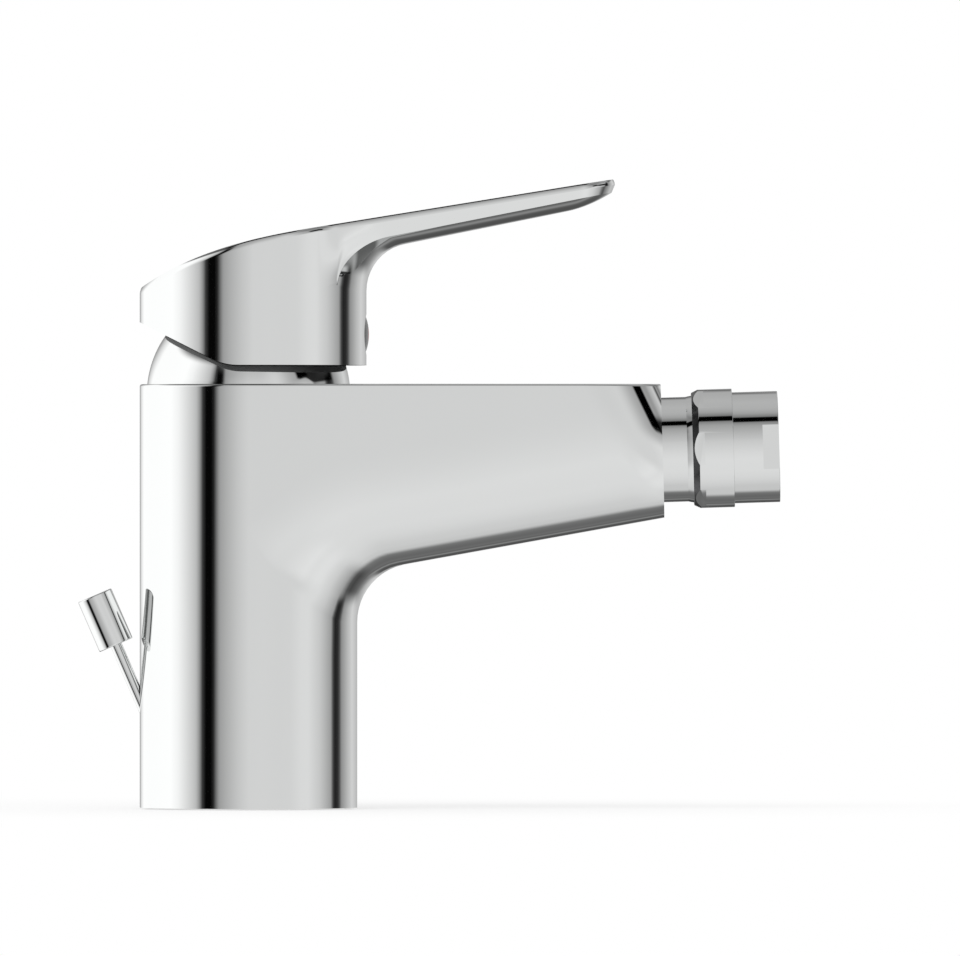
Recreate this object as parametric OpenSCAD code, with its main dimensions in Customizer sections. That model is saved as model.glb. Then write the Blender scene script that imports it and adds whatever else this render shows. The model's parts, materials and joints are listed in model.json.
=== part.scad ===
// Single lever bidet mixer: a cast body with a broad spout, a ceramic cartridge
// under the lever handle, a ball jointed outlet nozzle and a lift rod for the waste.
// The origin is the centre of the base on the deck. The spout points along +X, +Z is up.

/* [Body and spout] */
// Diameter of the column and width of the spout
column_d = 47; // [46:0.5:50]
// Height of the flat top above the deck
body_h = 91.5; // [90:0.5:96]
// Wall of the hollow base
base_wall = 3.5; // [3:0.25:4]
// Height of the hollow base
hollow_h = 47; // [44:1:49]
// Distance from the column axis to the middle of the spout's end face
spout_reach = 89.4; // [84:0.2:100]
// Height of the spout's end face
spout_end_h = 28.9; // [28:0.1:31]
// Slope of the spout's underside, in degrees
spout_rise = 10.2; // [8:0.2:12]
// Fillet between the spout's underside and the column
spout_fillet = 12.75; // [9:0.25:15]
// How far the rounding of the spout's underside reaches in from its edge
belly_w = 16; // [14:0.5:21]
// How far the same rounding reaches up the spout's side
belly_h = 26; // [20:0.5:27]
// Squareness of the same rounding, 2 for an ellipse
belly_power = 3; // [2:0.25:3]
// Rounding of the nose's two corners across the spout, seen from above
nose_r = 11.4; // [9:0.2:13]
// Rounding of the same corners along the spout
nose_l = 17.1; // [14:0.1:19]
// Forward lean of those corners, in degrees
nose_lean = 25; // [20:1:26]
// Rounding of the top edges
top_edge = 0.5; // [0.3:0.1:1]

/* [Handle] */
// Depth of the lift pivot below the body's top
pivot_drop = 2.2; // [1.8:0.1:2.6]
// Radius of the handle's round base
handle_r = 24.5; // [24:0.1:26]
// Forward offset of the handle's round base
handle_shift = 1; // [0:0.1:1.5]
// Distance from the column axis to the lever's tip
lever_reach = 79.2; // [70:0.2:90]
// Radius of the lever's tip, seen from above
lever_tip_r = 9.5; // [8:0.25:11]
// Height of the lever's tip above the body's top
lever_tip_h = 44.4; // [43:0.1:46]
// Slope of the lever's top, in degrees
lever_rise = 9.3; // [8:0.1:10]
// Slope of the lever's underside, in degrees
lever_under_rise = 11.3; // [10.8:0.1:12]
// Thickness of the lever at its tip
lever_tip_t = 4.9; // [4.4:0.1:6]
// Rounding of the lever's underside, up its side
lever_belly_h = 2.1; // [1.5:0.1:2.4]
// Half the width of the lever's underside at its root
lever_root_w = 16.3; // [15.5:0.1:17]
// Lean of the lever's sides at its root, from its top to its underside
lever_root_draft = 1.7; // [1.3:0.1:2]
// Radius of the hollow blends between the handle's base and the lever's sides
lever_blend = 12; // [8:0.5:16]
// Fillet between the lever's underside and the handle's front
lever_fillet = 10.4; // [7:0.2:12]
// Height of the handle's rim above the body's top
rim_h = 4.1; // [3.9:0.1:5]
// Rise of the rim at the back, in degrees
rim_rise = 26.8; // [25:0.2:30]
// Fall of the handle's top at its back
crown_fall = 6.9; // [5:0.1:8]
// Diameter of the index plug
plug_d = 8.9; // [7:0.1:10]

/* [Dome and cartridge] */
// Radius of the dome cover
dome_r = 22.1; // [21.8:0.1:22.3]
// Shell thickness of the dome cover
dome_wall = 1.2; // [1:0.1:1.4]
// Diameter of the cartridge
cartridge_d = 35; // [34:0.5:36]
// Height of the cartridge above the chamber floor, without its neck
cartridge_h = 20; // [19.5:0.1:21]
// Diameter of the turning spindle guide
turret_d = 21; // [20:0.5:22]
// Width across the square spindle
spindle_w = 5.6; // [5:0.1:6]
// Length of the spindle below its pin
spindle_arm = 10.8; // [10.4:0.1:11]
// Lift of the handle from closed to full flow, in degrees
lift_max = 22; // [18:1:23]

/* [Outlet joint] */
// Depth of the joint axis below the body's top
outlet_drop = 14.2; // [13.9:0.1:15]
// Upward tilt of the joint axis, in degrees
outlet_tilt = 1.7; // [0:0.1:3]
// Diameter of the nozzle and of its thread in the spout
nozzle_d = 24; // [23.5:0.1:24]
// Wall of the joint nut outside its thread
joint_nut_wall = 0.8; // [0.75:0.05:1]
// Wall of the nozzle between its thread and the joint ball
ball_wall = 0.35; // [0.3:0.05:0.6]
// Distance from the spout's end face to the ball's centre
ball_x = 8.2; // [8:0.1:9]
// Length of the nozzle barrel that shows
barrel_l = 9.8; // [9:0.1:12]
// Depth of each of the nozzle's spanner flats
flat_depth = 1; // [0.5:0.1:1.2]

/* [Lift rod] */
// Diameter of the rod
rod_d = 2.5; // [2.2:0.1:2.8]
// Backward lean of the rod, in degrees
rod_lean = 23.5; // [21:0.5:26]
// Height at which the rod's axis meets the column's back
rod_entry_h = 23.4; // [22:0.2:26]
// Free rod between the column and the knob
rod_free = 12.8; // [11:0.2:18]
// Diameter of the knob
knob_d = 7.8; // [7:0.1:10]
// Length of the knob
knob_l = 11.7; // [10:0.1:14]

/* [Connections] */
// Outside diameter of the hose thread
hose_d = 9; // [8:0.5:10]
// Core diameter of the fixing stud's thread
stud_d = 6.8; // [5:0.2:7]
// Distance between the two hose threads
hose_pitch = 18; // [16:0.5:20]

/* [Clearances] */
// Radial running clearance of turning and sliding fits
run_gap = 0.05; // [0.03:0.01:0.08]
// Gap around pieces that are screwed or pushed into a seat
seat_gap = 0.03; // [0.01:0.01:0.05]
// Free gap between pieces that move past each other
free_gap = 0.4; // [0.3:0.05:0.5]

/* [Hidden] */
$fn = 72;

chrome = "lightsteelblue";
brass = "goldenrod";
ceramic = "whitesmoke";
rubber = "dimgray";
plastic = "gainsboro";
steel = "silver";
// overrun of a cut past the face it opens
cut = 1;

// body and spout
column_r = column_d / 2;
hollow_r = column_r - base_wall;
floor_slope = tan(spout_rise);
// height of the underside's line on the column axis
floor_at_axis = body_h - spout_end_h - floor_slope * spout_reach;
// the nose's front at the top, a little behind the reach, and where its corners start
nose_back = 0.3;
nose_x = spout_reach - nose_back - nose_l;
// the nose starts to lean forward a little ahead of the column
lean_from = column_r * 1.3;
outlet_z = body_h - outlet_drop;

// ribs of the spout's skin in one half: back, side, nose corner and front
back_ribs = 14;
side_ribs = 16;
nose_ribs = 12;
front_ribs = 4;
spout_ribs = back_ribs + side_ribs + nose_ribs + front_ribs;
// steps of one rib along the underside
under_steps = 18;
// part of the column's front quarter, in degrees, that the side's ribs end on
side_sweep = 50;
// half height of the band that the back ribs spend on the underside's steps
back_band = 4;

// cartridge stack, from the chamber floor up
chamber_gap = 0.1;
// height of the nut's thread in the body, and its step out from the chamber
nut_thread_h = 5.5;
nut_step = 1.85;
// end play of the spindle guide's flange
end_play = 0.35;
cartridge_r = cartridge_d / 2;
chamber_r = cartridge_r + chamber_gap;
cartridge_top = body_h - nut_thread_h;
chamber_z = cartridge_top - cartridge_h;
nut_r = chamber_r + nut_step;
nut_seat_r = nut_r + run_gap;
housing_wall = 1.5;
housing_r = cartridge_r - housing_wall;
roof_t = 2.1;
gasket_t = 1.5;
base_t = 3.5;
disc_t = 2.5;
gasket_top = chamber_z + gasket_t;
base_top = gasket_top + base_t;
fixed_top = base_top + disc_t;
moving_z = fixed_top + run_gap;
moving_top = moving_z + disc_t - run_gap;
carrier_t = 4.5;
carrier_top = moving_top + carrier_t;
flange_z = carrier_top + end_play;
flange_top = cartridge_top - roof_t - end_play;
flange_r = housing_r - free_gap;
turret_r = turret_d / 2;
neck_r = turret_r + run_gap;
neck_wall = 1.75;
neck_h = 3;
neck_top = body_h + neck_h;
turret_top = neck_top - 0.2;
disc_travel = spindle_arm * sin(lift_max);
disc_r = housing_r - disc_travel - free_gap;
port_r = 3;
port_x = 9;
inlet_x = -2;
hose_thread_l = 12;
stud_x = 11;
// the passage to the spout runs this far below the chamber floor
crossing_drop = 5.2;
crossing_r = port_r + 0.4;
// wall left between the fixing stud's thread and that passage
stud_cover = 1.4;
stud_thread_l = chamber_z - crossing_drop - crossing_r - stud_cover - hollow_h;
riser_r = port_r + 0.2;
// distance of the spout's riser in front of the column
riser_gap = 7;
riser_x = column_r + riser_gap;

// dome, pivot and spindle
pivot_z = body_h - pivot_drop;
dome_open = 13.9;
collar_r = 17;
collar_top = body_h + 1.8;
web_t = 1.5;
nut_hex = 29;
spindle_ball_r = 2.2;
// the stem between the ball and the square is thin enough to tilt in the carrier
spindle_stem_r = spindle_ball_r * 0.65;
spindle_h = 22.7;
spindle_top = pivot_z + spindle_h;
pin_r = 1.5;

// handle
cavity_gap = 0.5;
cavity_r = dome_r + cavity_gap;
boss_r = 5.5;
boss_h = 7.5;
boss_z = body_h + boss_h;
rim_z = body_h + rim_h;
tip_z = body_h + lever_tip_h;
lever_tip_x = lever_reach - lever_tip_r;
lever_draft = 0.7;
low_tip_r = lever_tip_r - lever_draft;
// place of the lever's root on the round base
root_turn = asin(lever_root_w / handle_r);
root_x = handle_shift + handle_r * cos(root_turn);
// angles between the middle line and the lever's upper and lower edges
lever_taper = taper_from(lever_root_w + lever_root_draft, lever_tip_r);
low_taper = taper_from(lever_root_w, low_tip_r);
// the hollow blend touches the base at blend_turn and the upper edge at lever_taper
blend_turn = lever_taper + acos((lever_tip_r + lever_blend
  + (lever_tip_x - handle_shift) * sin(lever_taper)) / (handle_r + lever_blend));
blend_x = handle_shift + (handle_r + lever_blend) * sin(blend_turn);
blend_y = (handle_r + lever_blend) * cos(blend_turn);
// the feet of the ribs fan out under the lever up to this angle
front_turn = 24;
// the top edge is an arc that stops short of the top
lever_edge_r = 2.3;
lever_edge_turn = 33;
lever_edge_h = lever_edge_r * sin(lever_edge_turn);
// height of the lever's underside line at its tip
under_tip_z = tip_z - lever_tip_t;
lever_belly_w = 10;
crown_from = 22;
crown_power = 3.3;
crown_span = crown_from - handle_shift + handle_r;
rim_from = -5.1;
rim_round = 3;
handle_back_ribs = 16;
handle_blend_ribs = 6;
handle_side_ribs = 12;
handle_tip_ribs = 10;
handle_ribs = handle_back_ribs + handle_blend_ribs + handle_side_ribs + handle_tip_ribs;
lever_edge_steps = 3;
lever_side_steps = 6;
lever_under_steps = 14;
plug_h = 10.8;
plug_z = body_h + plug_h;
plug_depth = 3;
plug_dome = 0.55;
front_x = handle_shift + handle_r;
screw_r = 2.5;
screw_rise = 17;
screw_l = 6;
// distance along the screw's axis from the handle's front to the spindle
screw_end = (front_x - spindle_w / 2 - seat_gap - screw_r * sin(screw_rise)) / cos(screw_rise);

// outlet joint, along its axis from the spout's end face
thread_r = nozzle_d / 2;
connector_depth = 9;
seal_t = 1.5;
waterway_r = 10;
waterway_l = 64;
ball_r = thread_r - ball_wall;
socket_r = ball_r + run_gap;
// how far the nut reaches behind and before the ball's centre
lip_l = 1.6;
joint_nut_l = 7.2;
nut_start = ball_x - lip_l;
nut_end = ball_x + joint_nut_l;
joint_nut_d = nozzle_d + 2 * joint_nut_wall;
nozzle_flats = nozzle_d - 2 * flat_depth;
barrel_x = nut_end + seat_gap;
barrel_end = barrel_x + barrel_l;
socket_l = 3.4;
joint_thread_x = ball_x + socket_l;
joint_thread_r = thread_r - seat_gap;
// tilt of the nozzle to each side, in degrees
tilt_max = 6;
// the nut's lip, tilted by tilt_max, still clears the connector's neck
lip_angle = asin((ball_x - nut_start) / socket_r);
connector_neck_r = socket_r * cos(lip_angle + tilt_max) - run_gap;
connector_wall = 5.15;
connector_bore_r = ball_r - connector_wall;
// where the ball's front is cut flat, as a share of its radius
ball_cut = 0.558;
ball_front = ball_x + ball_r * ball_cut;
// the aerator's seat in the nozzle
seat_l = 3.1;
aerator_wall = 1.5;
aerator_x = barrel_x + seat_l;
aerator_r = thread_r - aerator_wall;
// the ball's sealing ring sits at this angle from the joint axis
ring_angle = 66;
ring_r = 0.8;
ring_seat = 0.6;

// lift rod, along its axis from the column's back
rod_r = rod_d / 2;
rod_hole_r = rod_r + 0.2;
guide_r = rod_r + 1.35;
guide_wall = 1.6;
guide_l = 5;
// the guide keeps a wall to the column's back
guide_top = -(guide_r + 1) / sin(rod_lean);
guide_end = guide_top - guide_l;
rod_end = -(rod_entry_h - 1.6) / cos(rod_lean);
knob_hold = 6;

// base ring
ring_groove_w = 1.5;
ring_groove_h = 1.4;
ring_groove_r = column_r - base_wall / 2;
base_ring_r = 0.68;

// frames of the outlet joint and of the lift rod, each with its own axis as Z
module on_joint(at = 0) {
  translate([spout_reach, 0, outlet_z])
    rotate([0, 90 - outlet_tilt, 0])
      translate([0, 0, at]) children();
}

module on_rod(at = 0) {
  translate([-column_r, 0, rod_entry_h])
    rotate([0, -rod_lean, 0])
      translate([0, 0, at]) children();
}

module ring(inner, outer, height) {
  difference() {
    cylinder(r = outer, h = height);
    translate([0, 0, -cut]) cylinder(r = inner, h = height + 2 * cut);
  }
}

module o_ring(middle, section) {
  rotate_extrude() translate([middle, 0]) circle(r = section);
}

// lofts a closed ring of ribs, each a list of points from the top cap to the bottom cap,
// and caps both ends with strips between mirrored ribs
module rib_loft(half) {
  last = len(half) - 1;
  rows = len(half[0]);
  ribs = concat(half, [for (i = [last - 1 : -1 : 1]) [for (p = half[i]) [p.x, -p.y, p.z]]]);
  count = len(ribs);
  at = function(i, j) (i % count) * rows + j;
  wall = [for (i = [0 : count - 1], j = [0 : rows - 2], upper = [true, false])
    upper ? [at(i, j), at(i + 1, j), at(i + 1, j + 1)]
          : [at(i, j), at(i + 1, j + 1), at(i, j + 1)]];
  strip = function(j, flip) [for (i = [0 : last - 1])
    let (far = count - i, next = far - 1,
      quad = i == 0 ? [at(0, j), at(next, j), at(1, j)]
        : i == last - 1 ? [at(i, j), at(far, j), at(last, j)]
        : [at(i, j), at(far, j), at(next, j), at(i + 1, j)])
    flip ? [for (k = [len(quad) - 1 : -1 : 0]) quad[k]] : quad];
  polyhedron(points = [for (r = ribs, p = r) p],
    faces = concat(wall, strip(0, false), strip(rows - 1, true)));
}

function smooth01(t) = let (c = min(1, max(0, t))) c * c * (3 - 2 * c);

// steps from 0 to 1 that lie closer together at both ends
function eased(j, steps) = pow((1 - cos(180 * j / steps)) / 2, 1.7);

// drop of a fillet below the underside, at distance d from the wall it runs into
function fillet_drop(d, r, rise) = d >= r * (1 - sin(rise)) ? 0
  : r * (1 - sin(rise)) / cos(rise) + d * tan(rise) - sqrt(max(0, r * r - pow(r - d, 2)));

// spout: distance from the outline's edge, and rounding of the underside at that distance
function nose_inset(x) = x <= nose_x ? 0
  : nose_r * (1 - sqrt(max(0, 1 - pow((x - nose_x) / nose_l, 2))));
function spout_edge(p) = column_r - norm([min(p.x, 0), p.y]) - nose_inset(p.x);
function spout_belly(e) = e >= belly_w ? 0
  : belly_h * (1 - pow(max(0, 1 - pow((belly_w - e) / belly_w, 2)), 1 / belly_power));
function lean_at(x) = tan(nose_lean) * smooth01((x - lean_from) / (nose_x - lean_from));
function spout_floor(x) = let (c = lean_at(x))
  (floor_at_axis + floor_slope * (x + c * body_h)) / (1 + floor_slope * c);
function spout_under(p) = spout_floor(p.x) + spout_belly(spout_edge(p))
  - fillet_drop(norm(p) - column_r, spout_fillet, spout_rise);
function leaned(p, z) = [p.x + lean_at(p.x) * (body_h - z), p.y, z];

function spout_out(i) = i <= back_ribs
    ? let (a = 180 - 90 * i / back_ribs) column_r * [cos(a), sin(a)]
  : i <= back_ribs + side_ribs ? [nose_x * pow((i - back_ribs) / side_ribs, 1.3), column_r]
  : i <= spout_ribs - front_ribs ? let (a = 90 - 90 * (i - back_ribs - side_ribs) / nose_ribs)
    [nose_x + nose_l * cos(a), column_r - nose_r * (1 - sin(a))]
  : [nose_x + nose_l, (column_r - nose_r) * (spout_ribs - i) / front_ribs];
function spout_in(i) = i <= back_ribs ? spout_out(i)
  : let (a = i <= back_ribs + side_ribs ? 90 - side_sweep * (i - back_ribs) / side_ribs
      : (90 - side_sweep) * (spout_ribs - i) / (nose_ribs + front_ribs))
    column_r * [cos(a), sin(a)];

function spout_rib(i) = let (p = spout_out(i), q = spout_in(i),
    spine = [min(max(p.x, 0), nose_x), 0],
    turn_z = spout_under([0, column_r]))
  concat([leaned(p + (spine - p) * top_edge / norm(spine - p), body_h),
      leaned(p, body_h - top_edge)],
    [for (j = [0 : under_steps])
      let (t = p + (q - p) * eased(j, under_steps),
        z = i <= back_ribs ? turn_z + back_band * (1 - 2 * j / under_steps) : spout_under(t))
      leaned(t, z)],
    [[q.x, q.y, 0]]);

module body() {
  color(chrome) difference() {
    rib_loft([for (i = [0 : spout_ribs]) spout_rib(i)]);
    // flat end of the spout
    on_joint() cylinder(r = body_h, h = body_h);
    // hollow base with the lift rod's boss left standing
    difference() {
      translate([0, 0, -cut]) cylinder(r = hollow_r, h = hollow_h + cut);
      on_rod(guide_end) cylinder(r = guide_r + guide_wall, h = -guide_end + cut);
    }
    translate([0, 0, -cut])
      ring(ring_groove_r - ring_groove_w / 2, ring_groove_r + ring_groove_w / 2, ring_groove_h + cut);
    on_rod(guide_top - cut) cylinder(r = rod_hole_r, h = -guide_top + column_r / 2);
    on_rod(guide_end - cut) cylinder(r = guide_r + seat_gap, h = guide_l + cut);
    // cartridge chamber and the thread of its nut
    translate([0, 0, chamber_z]) cylinder(r = chamber_r, h = cartridge_h);
    translate([0, 0, cartridge_top - cut]) cylinder(r = nut_seat_r, h = body_h);
    // hose threads with their passages, and the fixing stud's thread
    for (side = [-1, 1]) translate([inlet_x, side * hose_pitch / 2, hollow_h - cut]) {
      cylinder(d = hose_d, h = hose_thread_l + cut);
      cylinder(r = port_r, h = chamber_z - hollow_h + 2 * cut);
    }
    translate([stud_x, 0, hollow_h - cut]) cylinder(d = stud_d, h = stud_thread_l + cut);
    // mixed water goes down, forward under the chamber and up into the spout
    translate([port_x, 0, chamber_z - crossing_drop]) cylinder(r = port_r, h = crossing_drop + cut);
    translate([port_x - cut, 0, chamber_z - crossing_drop]) rotate([0, 90, 0])
      cylinder(r = crossing_r, h = riser_x - port_x + 3 * cut);
    translate([riser_x, 0, chamber_z - crossing_drop])
      cylinder(r = riser_r, h = outlet_z - chamber_z);
    on_joint(-waterway_l) cylinder(r = waterway_r, h = waterway_l);
    on_joint(-connector_depth - seal_t) cylinder(r = thread_r, h = connector_depth + seal_t + cut);
  }
}

module base_o_ring() {
  color(rubber) translate([0, 0, ring_groove_h / 2]) o_ring(ring_groove_r, base_ring_r);
}

module rod_guide() {
  color(plastic) on_rod(guide_end) ring(rod_r + run_gap, guide_r, guide_l - seat_gap);
}

// the two inlet ports and the outlet port of every piece in the cartridge's water path
module ports(r, from, height) {
  translate([0, 0, from - cut]) {
    for (side = [-1, 1]) translate([inlet_x, side * hose_pitch / 2, 0])
      cylinder(r = r, h = height + 2 * cut);
    translate([port_x, 0, 0]) cylinder(r = r, h = height + 2 * cut);
  }
}

module port_gasket() {
  color(rubber) difference() {
    translate([0, 0, chamber_z]) cylinder(r = housing_r - seat_gap, h = gasket_t);
    ports(port_r + 0.2, chamber_z, gasket_t);
  }
}

module cartridge_base() {
  color(plastic) difference() {
    translate([0, 0, gasket_top]) cylinder(r = housing_r - seat_gap, h = base_t);
    ports(port_r, gasket_top, base_t);
  }
}

module fixed_disc() {
  color(ceramic) difference() {
    translate([0, 0, base_top]) cylinder(r = housing_r - 1.2, h = disc_t);
    ports(port_r - 0.2, base_top, disc_t);
  }
}

// closed at rest: the mixing pocket reaches only the outlet until the disc slides
module moving_disc() {
  pocket_x = 3.2;
  pocket_r = 6;
  pocket_h = 1.5;
  color(ceramic) difference() {
    translate([0, 0, moving_z]) cylinder(r = disc_r, h = moving_top - moving_z);
    translate([pocket_x, 0, moving_z - cut]) cylinder(r = pocket_r, h = pocket_h + cut);
  }
}

module disc_carrier() {
  color(plastic) difference() {
    translate([0, 0, moving_top]) cylinder(r = disc_r, h = carrier_top - moving_top);
    translate([0, 0, moving_top - cut])
      cylinder(r = spindle_ball_r + run_gap, h = carrier_top - moving_top + 2 * cut);
  }
}

module cartridge_housing() {
  color(plastic) difference() {
    union() {
      translate([0, 0, chamber_z]) cylinder(r = cartridge_r, h = cartridge_h);
      translate([0, 0, chamber_z]) cylinder(r = neck_r + neck_wall, h = neck_top - chamber_z);
    }
    translate([0, 0, chamber_z - cut]) cylinder(r = housing_r, h = cartridge_h - roof_t + cut);
    translate([0, 0, chamber_z]) cylinder(r = neck_r, h = neck_top);
  }
}

module turret() {
  slot_w = spindle_w + free_gap;
  slot_x = spindle_arm * sin(lift_max) + spindle_w / 2;
  color(plastic) difference() {
    union() {
      translate([0, 0, flange_z]) cylinder(r = flange_r, h = flange_top - flange_z);
      translate([0, 0, flange_z]) cylinder(r = turret_r, h = turret_top - flange_z);
    }
    translate([-slot_x, -slot_w / 2, flange_z - cut])
      cube([2 * slot_x, slot_w, turret_top - flange_z + 2 * cut]);
    translate([0, 0, pivot_z]) rotate([90, 0, 0])
      cylinder(r = pin_r + seat_gap, h = 2 * turret_r + cut, center = true);
  }
}

module spindle_pin() {
  color(steel) translate([0, 0, pivot_z]) rotate([90, 0, 0])
    cylinder(r = pin_r, h = 2 * turret_r - 0.8, center = true);
}

module spindle() {
  shoulder = pivot_z - spindle_w * 0.6;
  color(steel) difference() {
    union() {
      translate([-spindle_w / 2, -spindle_w / 2, shoulder])
        cube([spindle_w, spindle_w, spindle_top - shoulder]);
      translate([0, 0, pivot_z - spindle_arm]) {
        cylinder(r = spindle_stem_r, h = spindle_arm);
        sphere(r = spindle_ball_r);
      }
    }
    translate([0, 0, pivot_z]) rotate([90, 0, 0])
      cylinder(r = pin_r + run_gap, h = 2 * spindle_w, center = true);
  }
}

module retaining_nut() {
  hex_z = collar_top + 0.2;
  color(brass) difference() {
    union() {
      translate([0, 0, cartridge_top]) cylinder(r = nut_r, h = body_h - 0.2 - cartridge_top);
      translate([0, 0, cartridge_top]) cylinder(r = collar_r, h = hex_z - cartridge_top);
      translate([0, 0, hex_z])
        cylinder(r = nut_hex / 2 / cos(30), h = 2, $fn = 6);
    }
    translate([0, 0, cartridge_top - cut])
      cylinder(r = neck_r + neck_wall + chamber_gap, h = body_h);
    // groove of the dome's ring
    translate([0, 0, body_h + 0.25]) ring(collar_r - 0.8, collar_r + cut, 1);
  }
}

module dome_cover() {
  inner = dome_r - dome_wall;
  color(chrome) difference() {
    intersection() {
      translate([0, 0, pivot_z]) sphere(r = dome_r);
      translate([0, 0, body_h]) cylinder(r = dome_r + cut, h = dome_open - pivot_drop);
    }
    difference() {
      translate([0, 0, pivot_z]) sphere(r = inner);
      translate([0, 0, body_h - cut]) cylinder(r = dome_r, h = web_t + cut);
    }
    translate([0, 0, body_h - cut]) cylinder(r = collar_r + run_gap, h = web_t + 2 * cut);
  }
}

module dome_o_ring() {
  section = 0.4;
  color(rubber) translate([0, 0, body_h + 0.75]) o_ring(collar_r - section, section);
}

// handle: edges in plan, top, underside and rim
function taper_from(half_width, tip_r) = let (reach = lever_tip_x - root_x)
  acos(tip_r / norm([reach, half_width])) - atan2(reach, half_width);
function lever_edge(p) = let (along = (p.x - lever_tip_x) * cos(low_taper) - abs(p.y) * sin(low_taper))
  along > 0 ? low_tip_r - norm([p.x - lever_tip_x, p.y])
  : low_tip_r + (lever_tip_x - p.x) * sin(low_taper) - abs(p.y) * cos(low_taper);
function lever_belly(e) = lever_belly_h * pow(max(0, 1 - max(0, e) / lever_belly_w), 2);
function handle_top(x) = tip_z - tan(lever_rise) * (lever_reach - x)
  - (x < crown_from ? crown_fall * pow((crown_from - x) / crown_span, crown_power) : 0);
function lever_under(p) = under_tip_z - tan(lever_under_rise) * (lever_reach - p.x)
  + lever_belly(lever_edge(p))
  - fillet_drop(norm([p.x - handle_shift, p.y]) - handle_r, lever_fillet, lever_under_rise);
function rim_at(x) = let (u = rim_from - x, k = rim_round)
  rim_z + tan(rim_rise) * (u <= -k ? 0 : u >= k ? u : pow(u + k, 2) / (4 * k));

function on_base(a) = [handle_shift + handle_r * cos(a), handle_r * sin(a)];
function on_tip(a, r) = [lever_tip_x + r * cos(a), r * sin(a)];
function on_blend(a) = [blend_x - lever_blend * sin(a), blend_y - lever_blend * cos(a)];
// a value for each stretch of ribs: round the back, along the blend, along the side, round the tip
function by_stretch(i, back, blend, side, tip) = let (j = i - handle_back_ribs,
    k = j - handle_blend_ribs, m = k - handle_side_ribs)
  j <= 0 ? back(i / handle_back_ribs)
  : k <= 0 ? blend(j / handle_blend_ribs)
  : m <= 0 ? side(pow(k / handle_side_ribs, 1.2))
  : tip(1 - m / handle_tip_ribs);
function mixed(a, b, t) = a + (b - a) * t;
function handle_out(i) = by_stretch(i,
  function(t) on_base(mixed(180, 90 - blend_turn, t)),
  function(t) on_blend(mixed(blend_turn, lever_taper, t)),
  function(t) mixed(on_blend(lever_taper), on_tip(90 - lever_taper, lever_tip_r), t),
  function(t) on_tip((90 - lever_taper) * t, lever_tip_r));
function handle_in(i) = by_stretch(i,
  function(t) on_base(mixed(180, 90 - blend_turn, t)),
  function(t) on_base(mixed(90 - blend_turn, root_turn, t)),
  function(t) on_base(mixed(root_turn, front_turn, t)),
  function(t) on_base(front_turn * t));
// the lower edge lies close to the base along the blend and then runs straight to the tip
function handle_low(i) = by_stretch(i,
  function(t) handle_in(i),
  function(t) mixed(handle_in(i), handle_out(i), 0.1),
  function(t) mixed([root_x, lever_root_w], on_tip(90 - low_taper, low_tip_r), t),
  function(t) on_tip((90 - low_taper) * t, low_tip_r));
// 0 where the side swings in softly to the base, 1 where it is straight
function handle_straight(i) = by_stretch(i,
  function(t) 0, function(t) 0, function(t) smooth01(t / 0.15), function(t) 1);

function handle_rib(i) = let (p = handle_out(i), q = handle_in(i), low = handle_low(i),
    spine = [min(max(p.x, handle_shift), lever_tip_x), 0],
    inward = (spine - p) / norm(spine - p),
    turn_z = lever_under(on_base(90 - blend_turn)),
    back_z = min(turn_z, handle_top(p.x) - 2 * lever_edge_h - back_band / 4),
    at_back = i <= handle_back_ribs,
    side_z = handle_top(p.x) - lever_edge_h,
    low_z = at_back ? back_z : lever_under(low))
  concat(
    [for (j = [lever_edge_steps : -1 : 1])
      let (a = lever_edge_turn * j / lever_edge_steps,
        t = p + inward * lever_edge_r * (1 - cos(a)))
      [t.x, t.y, handle_top(t.x) - lever_edge_h + lever_edge_r * sin(a)]],
    [for (j = [0 : lever_side_steps - 1])
      let (share = j / lever_side_steps,
        t = mixed(p, low, mixed(smooth01(share), share, handle_straight(i))))
      [t.x, t.y, mixed(side_z, low_z, share)]],
    [for (j = [0 : lever_under_steps])
      let (t = mixed(low, q, eased(j, lever_under_steps)),
        z = at_back ? back_z - back_band / 2 * j / lever_under_steps : lever_under(t))
      [t.x, t.y, z]],
    [[q.x, q.y, rim_at(q.x)]]);

// the screw's axis starts at the index plug and rises towards the spindle
module on_screw(at) {
  translate([front_x, 0, plug_z]) rotate([0, screw_rise - 90, 0]) translate([0, 0, at]) children();
}

module handle() {
  color(chrome) difference() {
    rib_loft([for (i = [0 : handle_ribs]) handle_rib(i)]);
    difference() {
      translate([0, 0, pivot_z]) sphere(r = cavity_r);
      translate([0, 0, boss_z]) cylinder(r = boss_r, h = cavity_r);
      on_screw(screw_end - screw_l - 1) cylinder(r = screw_r + 1.7, h = screw_l + 2);
    }
    translate([-spindle_w / 2 - seat_gap, -spindle_w / 2 - seat_gap, boss_z - cut])
      cube([spindle_w + 2 * seat_gap, spindle_w + 2 * seat_gap, spindle_top + 0.3 - boss_z + cut]);
    on_screw(-cut) cylinder(r = screw_r + seat_gap, h = screw_end + 2 * cut);
    translate([front_x - plug_depth, 0, plug_z]) rotate([0, 90, 0])
      cylinder(d = plug_d + 2 * seat_gap, h = plug_depth + cut);
  }
}

module handle_screw() {
  color(steel) on_screw(screw_end - screw_l) difference() {
    cylinder(r = screw_r, h = screw_l);
    translate([0, 0, -cut]) cylinder(r = 1.45, h = 2.5 + cut, $fn = 6);
  }
}

module index_plug() {
  plug_r = plug_d / 2;
  ball = (plug_r * plug_r + plug_dome * plug_dome) / (2 * plug_dome);
  color("firebrick") translate([front_x - plug_depth, 0, plug_z]) rotate([0, 90, 0])
    intersection() {
      cylinder(r = plug_r, h = plug_depth + plug_dome);
      translate([0, 0, plug_depth + plug_dome - ball]) sphere(r = ball);
    }
}

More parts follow.
